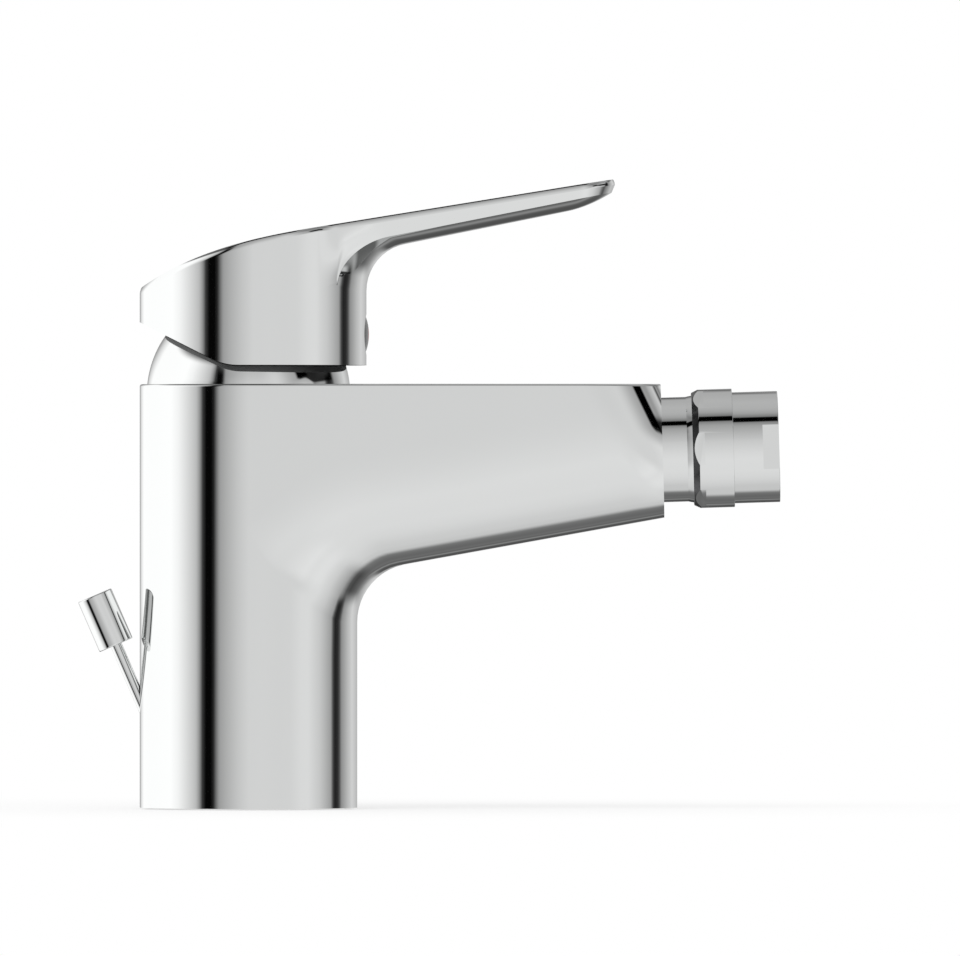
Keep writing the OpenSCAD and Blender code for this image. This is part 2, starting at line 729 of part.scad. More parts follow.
module lift_rod() {
  color(chrome) on_rod(rod_end) cylinder(r = rod_r, h = rod_free + knob_hold - rod_end);
}

module lift_knob() {
  edge = 0.4;
  knob_r = knob_d / 2;
  color(chrome) on_rod(rod_free) difference() {
    rotate_extrude() polygon([[0, 0], [knob_r - edge, 0], [knob_r, edge],
      [knob_r, knob_l - edge], [knob_r - edge, knob_l], [0, knob_l]]);
    translate([0, 0, -cut]) cylinder(r = rod_r + seat_gap, h = knob_hold + seat_gap + cut);
  }
}

module joint_connector() {
  color(chrome) difference() {
    union() {
      on_joint(-connector_depth) cylinder(r = joint_thread_r, h = connector_depth);
      on_joint() cylinder(r = connector_neck_r, h = ball_x);
      on_joint() intersection() {
        translate([0, 0, ball_x]) sphere(r = ball_r);
        cylinder(r = ball_r + cut, h = ball_front);
      }
    }
    on_joint(-connector_depth - cut)
      cylinder(r = connector_bore_r, h = connector_depth + ball_front + 2 * cut);
    // groove of the ball's sealing ring
    on_joint(ball_x + ball_r * cos(ring_angle) - ring_seat)
      ring(ball_r * sin(ring_angle) - 2 * ring_seat, ball_r + cut, 2 * ring_seat + run_gap);
  }
}

module connector_seal() {
  color(rubber) on_joint(-connector_depth - seal_t + seat_gap)
    ring(connector_bore_r, thread_r - 0.1, seal_t - 2 * seat_gap);
}

module ball_o_ring() {
  section = ring_seat - run_gap;
  color(rubber) on_joint(ball_x + ball_r * cos(ring_angle))
    o_ring(ball_r * sin(ring_angle) - section, section);
}

module joint_nut() {
  nut_outer = joint_nut_d / 2;
  chamfer = 0.95;
  chamfer_l = 1.25;
  flat_l = 2.6;
  color(chrome) on_joint(nut_start) difference() {
    intersection() {
      rotate_extrude() polygon([[0, 0], [nut_outer - chamfer, 0], [nut_outer, chamfer_l],
        [nut_outer, nut_end - nut_start - 0.2], [nut_outer - 0.2, nut_end - nut_start],
        [0, nut_end - nut_start]]);
      union() {
        cylinder(d = (joint_nut_d - 1) / cos(30), h = flat_l + cut, $fn = 6);
        translate([0, 0, flat_l]) cylinder(r = joint_nut_d, h = nut_end);
      }
    }
    translate([0, 0, ball_x - nut_start]) sphere(r = socket_r);
    translate([0, 0, joint_thread_x - nut_start - seat_gap]) cylinder(r = thread_r, h = nut_end);
  }
}

module nozzle() {
  edge = 0.35;
  flats_l = 3.5;
  color(chrome) on_joint() difference() {
    union() {
      translate([0, 0, joint_thread_x])
        cylinder(r = joint_thread_r, h = nut_end - joint_thread_x + cut);
      translate([0, 0, barrel_x]) rotate_extrude()
        polygon([[0, 0], [thread_r, 0], [thread_r, barrel_l - edge],
          [thread_r - edge, barrel_l], [0, barrel_l]]);
    }
    translate([0, 0, ball_x]) sphere(r = socket_r);
    translate([0, 0, ball_x]) cylinder(r = connector_bore_r - 0.5, h = barrel_end);
    translate([0, 0, aerator_x]) cylinder(r = aerator_r, h = barrel_end);
    for (side = [-1, 1]) translate([-thread_r, side * (nozzle_flats + thread_r) / 2, barrel_end - flats_l])
      translate([0, -thread_r / 2, 0]) cube([2 * thread_r, thread_r, flats_l + cut]);
  }
}

module aerator_seal() {
  color(rubber) on_joint(aerator_x) ring(aerator_r - 2, aerator_r - seat_gap, 0.9);
}

// rows of holes on a hexagonal pitch, inside a circle
module hex_holes(pitch, inside, r, height) {
  row_h = pitch * sin(60);
  rows = floor(inside / row_h);
  for (j = [-rows : rows], i = [-rows - 1 : rows + 1])
    let (x = pitch * (i + (j % 2 == 0 ? 0 : 0.5)), y = row_h * j)
      if (norm([x, y]) <= inside)
        translate([x, y, -cut]) cylinder(r = r, h = height + 2 * cut);
}

module aerator_screen() {
  screen_t = 0.5;
  screen_pitch = 2.6;
  screen_border = 3;
  screen_hole_r = 0.9;
  color(steel) on_joint(aerator_x + 0.9) difference() {
    cylinder(r = aerator_r - 0.1, h = screen_t);
    hex_holes(screen_pitch, aerator_r - screen_border, screen_hole_r, screen_t);
  }
}

module aerator_insert() {
  insert_x = aerator_x + 1.4;
  insert_l = barrel_end - 0.5 - insert_x;
  rim = 1.4;
  cell_pitch = 3.2;
  cell_r = 1.3;
  cell_border = 2;
  color(plastic) on_joint(insert_x) difference() {
    cylinder(r = aerator_r - seat_gap, h = insert_l);
    hex_holes(cell_pitch, aerator_r - rim - cell_border, cell_r, insert_l);
    // dished face inside a plain rim
    translate([0, 0, insert_l - 1]) cylinder(r = aerator_r - rim, h = 1 + cut);
  }
}

body();
base_o_ring();
rod_guide();
port_gasket();
cartridge_base();
cartridge_housing();
fixed_disc();
moving_disc();
disc_carrier();
turret();
spindle_pin();
spindle();
retaining_nut();
dome_cover();
dome_o_ring();
handle();
handle_screw();
index_plug();
lift_rod();
lift_knob();
joint_connector();
connector_seal();
ball_o_ring();
joint_nut();
nozzle();
aerator_seal();
aerator_screen();
aerator_insert();
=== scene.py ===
# %% [markdown]
# # A bidet mixer, dressed for the camera
#
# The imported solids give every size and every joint. This lesson puts finer skins on the
# pieces that show, in the same frame, so that the polished metal reflects cleanly. All
# lengths below are millimetres until a mesh is made; `MM` turns them into metres.

# %% Load the frame
import itertools
import json
from math import acos, asin, atan2, cos, degrees, hypot, pi, radians, sin, sqrt, tan

import bmesh
import bpy
import numpy as np
from mathutils import Matrix, Vector


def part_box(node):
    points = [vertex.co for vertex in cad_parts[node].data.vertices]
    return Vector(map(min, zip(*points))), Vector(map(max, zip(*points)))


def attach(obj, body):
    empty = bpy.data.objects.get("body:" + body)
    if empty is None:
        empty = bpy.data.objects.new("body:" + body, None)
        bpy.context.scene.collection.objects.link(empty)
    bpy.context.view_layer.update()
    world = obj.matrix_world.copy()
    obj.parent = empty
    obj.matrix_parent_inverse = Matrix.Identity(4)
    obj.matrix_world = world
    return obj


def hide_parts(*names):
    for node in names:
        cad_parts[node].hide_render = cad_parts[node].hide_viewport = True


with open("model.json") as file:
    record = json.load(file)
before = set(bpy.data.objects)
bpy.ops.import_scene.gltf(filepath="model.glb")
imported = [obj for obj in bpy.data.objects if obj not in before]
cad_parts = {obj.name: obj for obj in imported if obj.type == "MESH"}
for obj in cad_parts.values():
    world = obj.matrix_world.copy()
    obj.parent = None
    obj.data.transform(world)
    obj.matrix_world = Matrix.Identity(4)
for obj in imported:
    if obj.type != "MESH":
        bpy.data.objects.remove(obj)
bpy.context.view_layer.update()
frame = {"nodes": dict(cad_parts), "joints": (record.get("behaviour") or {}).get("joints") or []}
MM = 0.001
joints = {joint["name"]: joint for joint in frame["joints"]}
print("solids:", len(frame["nodes"]), "joints:", sorted(joints))

# %% [markdown]
# ## Sizes that the frame gives
#
# A size could be typed twice, once in the part's source and once here, and then the two
# drift apart. Reading it from the solids' boxes and joints keeps the skins where the solids
# are. Only what a box can't tell, such as a slope or a fillet, is written below by name.

# %% Driving sizes
body_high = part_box("body")[1]
handle_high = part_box("handle")[1]
column_r = body_high.y / MM
body_h = body_high.z / MM
tip_z = handle_high.z / MM
lever_reach = handle_high.x / MM
pivot = np.array(joints["handle_lift"]["pos_m"]) / MM
ball = np.array(joints["nozzle_spin"]["pos_m"]) / MM
spout_axis = np.array(joints["nozzle_spin"]["axis"])
rod_axis = np.array(joints["lift_rod_slide"]["axis"])
print("column radius", round(column_r, 2), "height", round(body_h, 2))
print("lever reach", round(lever_reach, 2))

# %% [markdown]
# ## Camera
#
# The photograph looks square at the mixer's right side from far away, so that both edges of
# the column look upright. A camera could be fitted by eye; here the object's own width in
# the picture gives the scale, and the lens follows from the distance.


# %% Camera
def new_object(name, data):
    """An object in the scene's collection."""
    made = bpy.data.objects.new(name, data)
    bpy.context.collection.objects.link(made)
    return made


PICTURE_W, PICTURE_H = 960, 956
MM_PER_PIXEL = 0.2162
column_axis_px, deck_px = 248.5, 807.5
camera_distance = 5000.0
view_x = (PICTURE_W / 2 - column_axis_px) * MM_PER_PIXEL
view_z = (deck_px - PICTURE_H / 2) * MM_PER_PIXEL

camera_data = bpy.data.cameras.new("camera")
camera_data.sensor_width = 36.0
camera_data.sensor_fit = "HORIZONTAL"
camera_data.lens = camera_data.sensor_width * camera_distance / (PICTURE_W * MM_PER_PIXEL)
camera_data.clip_start = 0.05
camera_data.clip_end = 30.0
camera_data.dof.use_dof = False
camera = new_object("camera", camera_data)
camera.location = (view_x * MM, -camera_distance * MM, view_z * MM)
camera.rotation_euler = (pi / 2, 0.0, 0.0)
bpy.context.scene.camera = camera
bpy.context.scene.view_settings.view_transform = "Standard"
print("lens", round(camera_data.lens, 1), "mm")

# %% [markdown]
# ## Shader maths as Python
#
# A node tree built one link at a time is hard to read. Wrapping an output socket in a small
# class lets `1 - mask` add the Math node by itself, and one method adds every other node.


# %% The wire class
class Wire:
    """An output socket that can be used in expressions."""

    def __init__(self, socket):
        self.socket = socket
        self.tree = socket.id_data

    @staticmethod
    def node(tree, kind, inputs=None, output=0, **settings):
        node = tree.nodes.new(kind)
        for name, value in settings.items():
            if name == "stops":
                ramp = node.color_ramp
                while len(ramp.elements) < len(value):
                    ramp.elements.new(1.0)
                for element, (place, colour) in zip(ramp.elements, value):
                    element.position = place
                    element.color = (*colour, 1.0)
            else:
                setattr(node, name, value)
        for name, value in (inputs or {}).items():
            if isinstance(value, Wire):
                tree.links.new(value.socket, node.inputs[name])
            else:
                node.inputs[name].default_value = value
        return Wire(node.outputs[output]) if node.outputs else node

    def maths(self, operation, other=0.0, swap=False):
        inputs = {0: other, 1: self} if swap else {0: self, 1: other}
        return Wire.node(self.tree, "ShaderNodeMath", inputs, operation=operation)

    def __add__(self, other):
        return self.maths("ADD", other)

    __radd__ = __add__

    def __sub__(self, other):
        return self.maths("SUBTRACT", other)

    def __rsub__(self, other):
        return self.maths("SUBTRACT", other, swap=True)

    def __mul__(self, other):
        return self.maths("MULTIPLY", other)

    __rmul__ = __mul__

    def part(self, axis):
        """One coordinate of a vector."""
        return Wire.node(self.tree, "ShaderNodeSeparateXYZ", {0: self}, axis)

    def step(self, start, end):
        """0 before start, 1 after end, smooth between."""
        inputs = {"Value": self, "From Min": start, "From Max": end}
        return Wire.node(self.tree, "ShaderNodeMapRange", inputs, interpolation_type="SMOOTHSTEP")

    def band(self, start, end, soft):
        """1 between start and end, with soft borders."""
        return self.step(start - soft, start + soft) * (1 - self.step(end - soft, end + soft))


def grey_to_light(level):
    """Linear light of a picture's grey level from 0 to 255."""
    value = level / 255.0
    return value / 12.92 if value <= 0.04045 else ((value + 0.055) / 1.055) ** 2.4


print("mid grey is", round(grey_to_light(128), 3))

# %% [markdown]
# ## The studio
#
# Polished metal has hardly any colour of its own: what one sees is the studio around it. The
# photograph's studio has pale walls that darken upwards, two black gaps between its light
# panels and a dark floor behind the object. It could be built from cards, but a pattern on
# the world gives the same reflections and leaves nothing to stand in a shot. The camera
# itself sees plain white.

# %% Grey levels of the studio
# around the horizon, in degrees from the camera's side towards the spout
horizon = [
    (-180, 90), (-167, 172), (-158, 222), (-147, 252), (-90, 255), (-79.7, 244), (-71.7, 227),
    (-63.7, 208), (-56.7, 187), (-52.7, 145), (-49.4, 58), (-45.7, 6), (-39.3, 6), (-36, 39),
    (-33, 115), (-30.2, 154), (-24, 170), (-11, 193), (0, 206), (46, 209), (58, 216), (67, 217),
    (82, 198), (98.5, 156), (102, 72), (105.5, 34), (110.5, 42), (114, 78), (118, 142),
    (132, 184), (144, 206), (180, 160)]
# from straight down to straight up, on the camera's side and on the far side
near_side = [
    (-90, 188), (-79, 203), (-72, 208), (-63, 213), (-49, 217), (-23, 217), (-11, 213), (0, 207),
    (14, 198), (20, 190), (27, 183), (33, 176), (40, 167), (46, 158), (53, 131),
    (67, 122), (75, 156), (83, 166), (90, 170)]
far_side = [
    (-90, 186), (-84, 180), (-80, 180), (-77, 168), (-75, 152), (-72, 125), (-69, 106), (-63, 97),
    (-56, 92), (-48, 98), (-43, 87), (-40.5, 100), (-38, 125), (-35.5, 125), (-32.5, 97),
    (-29, 84), (-24, 86), (-16, 90), (-13, 128), (-9.5, 172), (-5, 190), (0, 190), (10, 158),
    (22, 167), (34, 164), (46, 156), (60, 160), (76, 165), (90, 166)]
# by the angle from the camera's line, for the lower right of the studio
lower_right = [
    (20, 212), (36, 219), (45, 224), (52, 220), (60, 223), (66, 221), (73, 212), (80, 204),
    (86, 191), (93, 176), (99, 160), (104, 126), (109, 82), (116, 68), (124, 82), (133, 98),
    (144, 130), (157, 170), (169, 195), (180, 190)]
print("stops:", len(horizon), len(near_side), len(far_side), len(lower_right))

# %% Directions in the studio
world = bpy.data.worlds.new("studio")
world.use_nodes = True
bpy.context.scene.world = world
sky = world.node_tree
sky.nodes.clear()
direction = Wire.node(sky, "ShaderNodeTexCoord")
along, away, up = (direction.part(axis) for axis in range(3))
near = away * -1.0
DEGREES = 180 / pi
azimuth = along.maths("ARCTAN2", near) * DEGREES
height = up.maths("ARCSINE") * DEGREES
# the angle from the camera's line, and the turn around it from the spout's side upwards
from_line = near.maths("ARCCOSINE") * DEGREES
around = up.maths("ARCTAN2", along) * DEGREES
print("direction nodes:", len(sky.nodes))

# %% Walls of the studio
chrome_light = 0.878  # share of the light that the plate returns


def level_ramp(angle, levels, start, span, against=None):
    """Light by an angle in degrees, which chrome turns into the grey levels."""
    base = chrome_light if against is None else grey_to_light(against)
    stops = [((at - start) / span, (grey_to_light(level) / base,) * 3) for at, level in levels]
    place = angle * (1 / span) - start / span
    return Wire.node(sky, "ShaderNodeValToRGB", {"Fac": place}, stops=stops)


wall_grey, far_grey = 205, 190
plain_wall = grey_to_light(wall_grey) / chrome_light
# the panels on the left lean, and their light reaches far up and down
left = 1 - along.step(-0.6, -0.3)
lean = height.maths("MAXIMUM", -15).maths("MINIMUM", 14) * (0.75 * left)
walls = level_ramp(azimuth - lean, horizon, -180, 360)
steep = height.maths("ABSOLUTE").step(20, 45) * (1 - left)
walls = walls * (1 - steep) + steep * plain_wall
facing = near.step(-0.35, 0.35)
rise = level_ramp(height, near_side, -90, 180, wall_grey) * facing
# far below, the levels follow the angle from the camera's line instead of the height
low = 1 - height.step(-45, -25)
beyond = height * (1 - low) + (from_line - 180) * low
rise = rise + level_ramp(beyond, far_side, -90, 180, far_grey) * (1 - facing)
print("wall nodes:", len(sky.nodes))

# %% Light panels
panel_grey, left_end_dark = 214, 0.86
panel_light = grey_to_light(panel_grey) / chrome_light
right = along.step(0.2, 0.6) * height.band(-32, 33, 7)
level_side = left + right * (1 - left)
rise = rise * (1 - level_side) + level_side
rise = rise * (1 - left_end_dark * left * height.step(29, 37))
# one panel stands high beyond the spout, and the floor's light is seen beneath it
high_panel = azimuth.band(86, 108, 5) * height.band(14, 28, 3)
studio = walls * rise * (1 - high_panel) + high_panel * panel_light
beneath = (1 - around.step(-36, -16)) * around.step(-64, -50) * from_line.step(15, 35)
studio = studio * (1 - beneath) + level_ramp(from_line, lower_right, 0, 180) * beneath
print("panel nodes:", len(sky.nodes))

# %% Dark gaps
# an arch around the camera sinks and widens towards the spout; it has a foot and a soft shade
arch_at, arch_sink, arch_widen, arch_half, arch_gap = 60, 8.2, 0.24, 5.5, 0.82
foot_from, foot_sink = 16.4, 6.4
foot_dark, shade_dark, card_dark = 0.95, 0.48, 0.7
sunk = 1 - around.step(22, 90)
from_arch = (from_line - arch_at - arch_sink * sunk) * (1 - arch_widen * sunk)
arch = from_arch.band(-arch_half, arch_half, 1.5) * around.band(17.5, 130, 1.5)
arch = arch * (1 - arch_gap * around.band(28, 58, 2))
foot_low = foot_from - foot_sink * from_line.step(70, 84)
foot = from_line.band(63, 113, 2.5) * (around - foot_low).step(-1.2, 1.2)
foot = foot * (1 - around.step(20.6, 23))
shade = from_line.step(33, 62) * (1 - from_line.step(80, 116)) * around.band(11, 48, 7)
studio = studio * (1 - arch) * (1 - foot_dark * foot) * (1 - shade_dark * shade)
# a dark card beyond the lever's root
card = azimuth.band(122, 152, 4) * height.band(20, 50, 4)
studio = studio * (1 - card_dark * card)
print("nodes with the gaps:", len(sky.nodes))

# %% World
soft_light = 0.8
glossy, seen = (Wire.node(sky, "ShaderNodeLightPath", None, ray)
                for ray in ("Is Glossy Ray", "Is Camera Ray"))
level = glossy * studio + (1 - glossy) * soft_light
level = level * (1 - seen) + seen
background = Wire.node(sky, "ShaderNodeBackground", {"Color": level, "Strength": 1.0})
Wire.node(sky, "ShaderNodeOutputWorld", {"Surface": background})
print("world nodes:", len(sky.nodes))

# %% [markdown]
# ## Floor
#
# The object stands on a pale deck that runs into the white behind it. A floor could be pure
# white light, but then nothing would ground the object. This one is mostly white, keeps the
# soft shadow near the base and turns into plain white before its border. Polished metal sees
# the studio's own floor instead, which the world's pattern holds.

# %% Floor
deck_half, deck_drop = 4.0, 0.0003
corners = [(-1, -1), (1, -1), (1, 1), (-1, 1)]
spots = [(x * deck_half, y * deck_half, -deck_drop) for x, y in corners]
floor_mesh = bpy.data.meshes.new("deck")
floor_mesh.from_pydata(spots, [], [(0, 1, 2, 3)])
deck = new_object("deck", floor_mesh)
deck.visible_glossy = False

deck_finish = bpy.data.materials.new("deck_white")
deck_finish.use_nodes = True
paint = deck_finish.node_tree
paint.nodes.clear()
place = Wire.node(paint, "ShaderNodeTexCoord", None, "Object")
distance = Wire.node(paint, "ShaderNodeVectorMath", {0: place}, "Value", operation="LENGTH")
matt = Wire.node(paint, "ShaderNodeBsdfDiffuse", {"Color": (0.97, 0.97, 0.97, 1.0)})
white = {"Color": (1.0, 1.0, 1.0, 1.0), "Strength": 1.0}
glow = Wire.node(paint, "ShaderNodeEmission", white)
whiteness = 0.62 + 0.38 * distance.step(0.07, 0.22)
blend = Wire.node(paint, "ShaderNodeMixShader", {0: whiteness, 1: matt, 2: glow})
Wire.node(paint, "ShaderNodeOutputMaterial", {"Surface": blend})
floor_mesh.materials.append(deck_finish)
print("deck", 2 * deck_half, "m wide")

# %% Soft panel
panel_data = bpy.data.lights.new("soft_panel", "AREA")
panel_data.shape = "DISK"
panel_data.size = 1.2
panel_data.energy = 9.0
panel = new_object("soft_panel", panel_data)
panel.location = (-0.4, -0.9, 1.5)
aim = Vector((0.03, 0.0, 0.06)) - panel.location
panel.rotation_euler = aim.to_track_quat("-Z", "Y").to_euler()
panel.visible_glossy = False
print("soft panel", round(aim.length, 2), "m away")

# %% [markdown]
# ## Chrome
#
# The real finish is a bright electroplate over polished brass: a near-perfect mirror whose
# polish is never quite even. A single roughness number would look like a computer mirror, so
# the roughness drifts in faint clouds and a very shallow bump, left by the polishing wheel,
# bends long reflections by a hair.


# %% Chrome
def new_finish(name, **constants):
    """A material, its Principled shader and Object coordinates."""
    finish = bpy.data.materials.new(name)
    finish.use_nodes = True
    tree = finish.node_tree
    tree.nodes.clear()
    inputs = {socket.replace("_", " "): value for socket, value in constants.items()}
    shader = Wire.node(tree, "ShaderNodeBsdfPrincipled", inputs)
    Wire.node(tree, "ShaderNodeOutputMaterial", {"Surface": shader})
    return finish, shader, Wire.node(tree, "ShaderNodeTexCoord", None, "Object")


def texture(place, scale, detail=2.0, distortion=None):
    """Clouds or, with a distortion, fine lines along Z as a lathe or a die leaves them."""
    inputs = {"Vector": place, "Scale": scale, "Detail": detail}
    if distortion is None:
        return Wire.node(place.tree, "ShaderNodeTexNoise", inputs)
    inputs["Distortion"] = distortion
    return Wire.node(place.tree, "ShaderNodeTexWave", inputs, 1, bands_direction="Z")


def two_tone(mask, first, second):
    """Colour that goes from first to second with the mask."""
    ends = [tone if isinstance(tone, Wire) else (*tone, 1.0) for tone in (first, second)]
    inputs = {0: mask, 6: ends[0], 7: ends[1]}
    return Wire.node(mask.tree, "ShaderNodeMix", inputs, 2, data_type="RGBA")


def dress(shader, mask, tones, rough, relief=None):
    """Two tones by a mask, a roughness and, where given, a relief: height, strength, depth."""
    wires = {"Base Color": two_tone(mask, *tones), "Roughness": rough}
    if relief:
        inputs = dict(zip(("Height", "Strength", "Distance"), relief))
        wires["Normal"] = Wire.node(shader.tree, "ShaderNodeBump", inputs)
    for socket, wire in wires.items():
        shader.tree.links.new(wire.socket, shader.socket.node.inputs[socket])


def grained(name, tones, patches, grain, rough, relief=None, **constants):
    """A finish of two tones in patches. Its roughness is a plain part, one by the patches and
    one by the grain; its relief is the grain's strength and depth."""
    finish, shader, place = new_finish(name, **constants)
    patches, grain = texture(place, *patches), texture(place, *grain)
    mixed = rough[0] + rough[1] * patches + rough[2] * grain
    dress(shader, patches, tones, mixed, relief and (grain, *relief))
    print("finish:", name)
    return finish


chrome = grained("chrome_plate", [(0.862, 0.873, 0.869), (0.874, 0.883, 0.879)],
                 (60.0, 3.0), (260.0,), (0.018, 0.02, 0.008), (0.02, 0.00002), Metallic=1.0)

# %% [markdown]
# ## Finishes inside the mixer
#
# These show only where the mixer is opened or seen from below: moulded plastic of the
# cartridge, ground ceramic, turned brass, plain steel and rubber. Each could be one colour;
# a little grain in colour, gloss and relief tells them apart in close light.

# %% Plastic, ceramic and rubber
acetal = grained("moulded_acetal", [(0.80, 0.80, 0.78), (0.87, 0.87, 0.85)],
                 (45.0,), (900.0,), (0.38, 0, 0.14), (0.25, 0.00006), IOR=1.48)
aerator_acetal = grained("aerator_acetal", [(0.72, 0.75, 0.78), (0.80, 0.82, 0.84)],
                         (1100.0,), (1100.0,), (0.32, 0, 0.12), (0.2, 0.00004), IOR=1.48)
ceramic = grained("lapped_ceramic", [(0.88, 0.87, 0.83), (0.95, 0.94, 0.91)],
                  (2600.0,), (2600.0,), (0.12, 0, 0.1), IOR=1.7)
rubber = grained("seal_rubber", [(0.018, 0.018, 0.019), (0.045, 0.045, 0.047)],
                 (80.0,), (1500.0, 3.0), (0.55, 0, 0.2), (0.3, 0.00005), IOR=1.5)

# %% Brass and steel
brass = grained("turned_brass", [(0.64, 0.49, 0.22), (0.76, 0.61, 0.32)], (120.0, 3.0),
                (900.0, 2.0, 1.5), (0.24, 0.1, 0.05), (0.15, 0.00003), Metallic=1.0)
steel = grained("plain_steel", [(0.56, 0.57, 0.58), (0.68, 0.69, 0.70)], (150.0, 3.0),
                (1400.0, 3.0, 3.0), (0.22, 0.1, 0.06), (0.12, 0.00002), Metallic=1.0)

# %% [markdown]
# ## Tools for the skins
#
# Three small tools make every skin. Ribs make the cast body and the handle: a half ring of
# them is mirrored and joined. Turning makes what a lathe makes, from a profile whose corners
# are softened. Cutting takes bores and flats out of either, with Blender's exact Boolean.


# %% Skins from ribs
def clean_mesh(mesh):
    """Merges doubles and turns every face outwards."""
    work = bmesh.new()
    work.from_mesh(mesh)
    bmesh.ops.remove_doubles(work, verts=work.verts, dist=1e-7)
    bmesh.ops.dissolve_degenerate(work, edges=work.edges, dist=1e-8)
    bmesh.ops.recalc_face_normals(work, faces=work.faces)
    work.to_mesh(mesh)
    work.free()
    return mesh


def grid_mesh(name, points, closed=False):
    """Skin over rows of points that go round; closed joins the last row to the first."""
    count, rows = points.shape[:2]
    last = rows if closed else rows - 1
    i, j = np.meshgrid(np.arange(count), np.arange(last), indexing="ij")
    beside, below = (i + 1) % count, (j + 1) % rows
    corners = (i, j), (i, below), (beside, below), (beside, j)
    quads = np.stack([rib * rows + row for rib, row in corners], -1)
    mesh = bpy.data.meshes.new(name)
    mesh.from_pydata((points.reshape(-1, 3) * MM).tolist(), [], quads.reshape(-1, 4).tolist())
    return clean_mesh(mesh)


def rib_mesh(name, half):
    """Closed skin from ribs of one side, ordered from the back to the front."""
    return grid_mesh(name, np.concatenate([half, half[-2:0:-1] * (1, -1, 1)]))


print("ribs ready")


# %% Turning
def soften(profile, radius, closed=False, steps=5, hold=0.08):
    """Rounds the corners of a profile and holds the flats straight up to the rounding."""
    points = [np.array(p, float) for p in profile]
    count = len(points)
    smooth = []
    for k, corner in enumerate(points):
        if not closed and k in (0, count - 1):
            smooth.append(corner)
            continue
        before, after = points[k - 1] - corner, points[(k + 1) % count] - corner
        reach = min(radius, 0.4 * np.linalg.norm(before), 0.4 * np.linalg.norm(after))
        before, after = before / np.linalg.norm(before), after / np.linalg.norm(after)
        ends = corner + before * reach, corner + after * reach
        smooth.append(ends[0] + before * min(hold, reach / 4))
        for t in np.linspace(0, 1, steps + 1):
            smooth.append((1 - t) ** 2 * ends[0] + 2 * t * (1 - t) * corner + t * t * ends[1])
        smooth.append(ends[1] + after * min(hold, reach / 4))
    return np.array(smooth)


def turned(name, profile, origin, axis, closed=False, steps=120):
    """Skin turned from (along, radius) points around an axis that lies in the middle plane."""
    axis = np.array(axis, float) / np.linalg.norm(axis)
    side = np.array((0.0, 1.0, 0.0))
    over = np.cross(axis, side)
    turns = np.arange(steps) * 2 * pi / steps
    spokes = np.outer(np.cos(turns), side) + np.outer(np.sin(turns), over)
    profile = np.array(profile, float)
    outwards = profile[None, :, 1:] * spokes[:, None, :]
    return grid_mesh(name, np.array(origin) + profile[None, :, :1] * axis + outwards, closed)


print("lathe ready")


# %% Cutting
def block(low, high, turn, origin):
    """Plain cutter between two corners, turned by a 3 by 3 matrix and moved to its origin."""
    spots = np.array([*itertools.product(*zip(low, high))], float) @ np.array(turn).T + origin
    sides = [(0, 1, 3, 2), (4, 6, 7, 5), (0, 4, 5, 1), (2, 3, 7, 6), (0, 2, 6, 4), (1, 5, 7, 3)]
    mesh = bpy.data.meshes.new("block")
    mesh.from_pydata((spots * MM).tolist(), [], sides)
    return clean_mesh(mesh)


def cut(mesh, *cutters):
    """The mesh with every cutter taken out of it."""
    whole = new_object("whole", mesh)
    tools = []
    for shape in cutters:
        tool = new_object("tool", shape)
        step = whole.modifiers.new("cut", "BOOLEAN")
        step.operation, step.solver, step.object = "DIFFERENCE", "EXACT", tool
        tools.append(tool)
    graph = bpy.context.evaluated_depsgraph_get()
    result = bpy.data.meshes.new_from_object(whole.evaluated_get(graph))
    for obj in (whole, *tools):
        shape = obj.data
        bpy.data.objects.remove(obj)
        bpy.data.meshes.remove(shape)
    return result


print("mill ready")


# %% Placing
def place_piece(name, mesh, body, node, sharp=30.0, finish=chrome):
    """Makes the piece, shades it and lets it ride on its body in place of the CAD node."""
    mesh.name = name
    mesh.materials.clear()
    mesh.materials.append(finish)
    mesh.polygons.foreach_set("use_smooth", [True] * len(mesh.polygons))
    mesh.set_sharp_from_angle(angle=radians(sharp))
    piece = new_object(name, mesh)
    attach(piece, body)
    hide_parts(node)
    print(name, "faces:", len(mesh.polygons), "rides on", body)
    return piece


print("pieces can be placed")

# %% [markdown]
# ## Cast body
#
# The real body is one brass casting: a round column that grows into a broad spout with a flat
# top, a rounded belly and a nose that leans forward into a flat end. It could be sculpted,
# but polished metal shows every bump. A rule is better: each rib runs over the top edge, down
# the side, in along the belly and down the column, and the belly is a height over the plan.

# %% Rule of the spout
spout_reach, spout_end_h, spout_rise = 89.4, 28.9, radians(10.2)
spout_fillet, belly_w, belly_h, belly_power = 12.75, 16.0, 26.0, 3.0
nose_r, nose_l, nose_lean, nose_back, top_edge = 11.4, 17.1, radians(25), 0.3, 0.5
floor_slope = tan(spout_rise)
floor_at_axis = body_h - spout_end_h - floor_slope * spout_reach
nose_x = spout_reach - nose_back - nose_l
lean_from = column_r * 1.3


def smooth01(t):
    t = np.clip(t, 0, 1)
    return t * t * (3 - 2 * t)


def eased(steps):
    return ((1 - np.cos(np.pi * np.arange(steps + 1) / steps)) / 2) ** 1.7


def fillet_drop(d, r, rise):
    run = r * (1 - sin(rise))
    drop = run / cos(rise) + d * tan(rise) - np.sqrt(np.maximum(0, r * r - (r - d) ** 2))
    return np.where(d >= run, 0.0, drop)


def lean_at(x):
    return tan(nose_lean) * smooth01((x - lean_from) / (nose_x - lean_from))


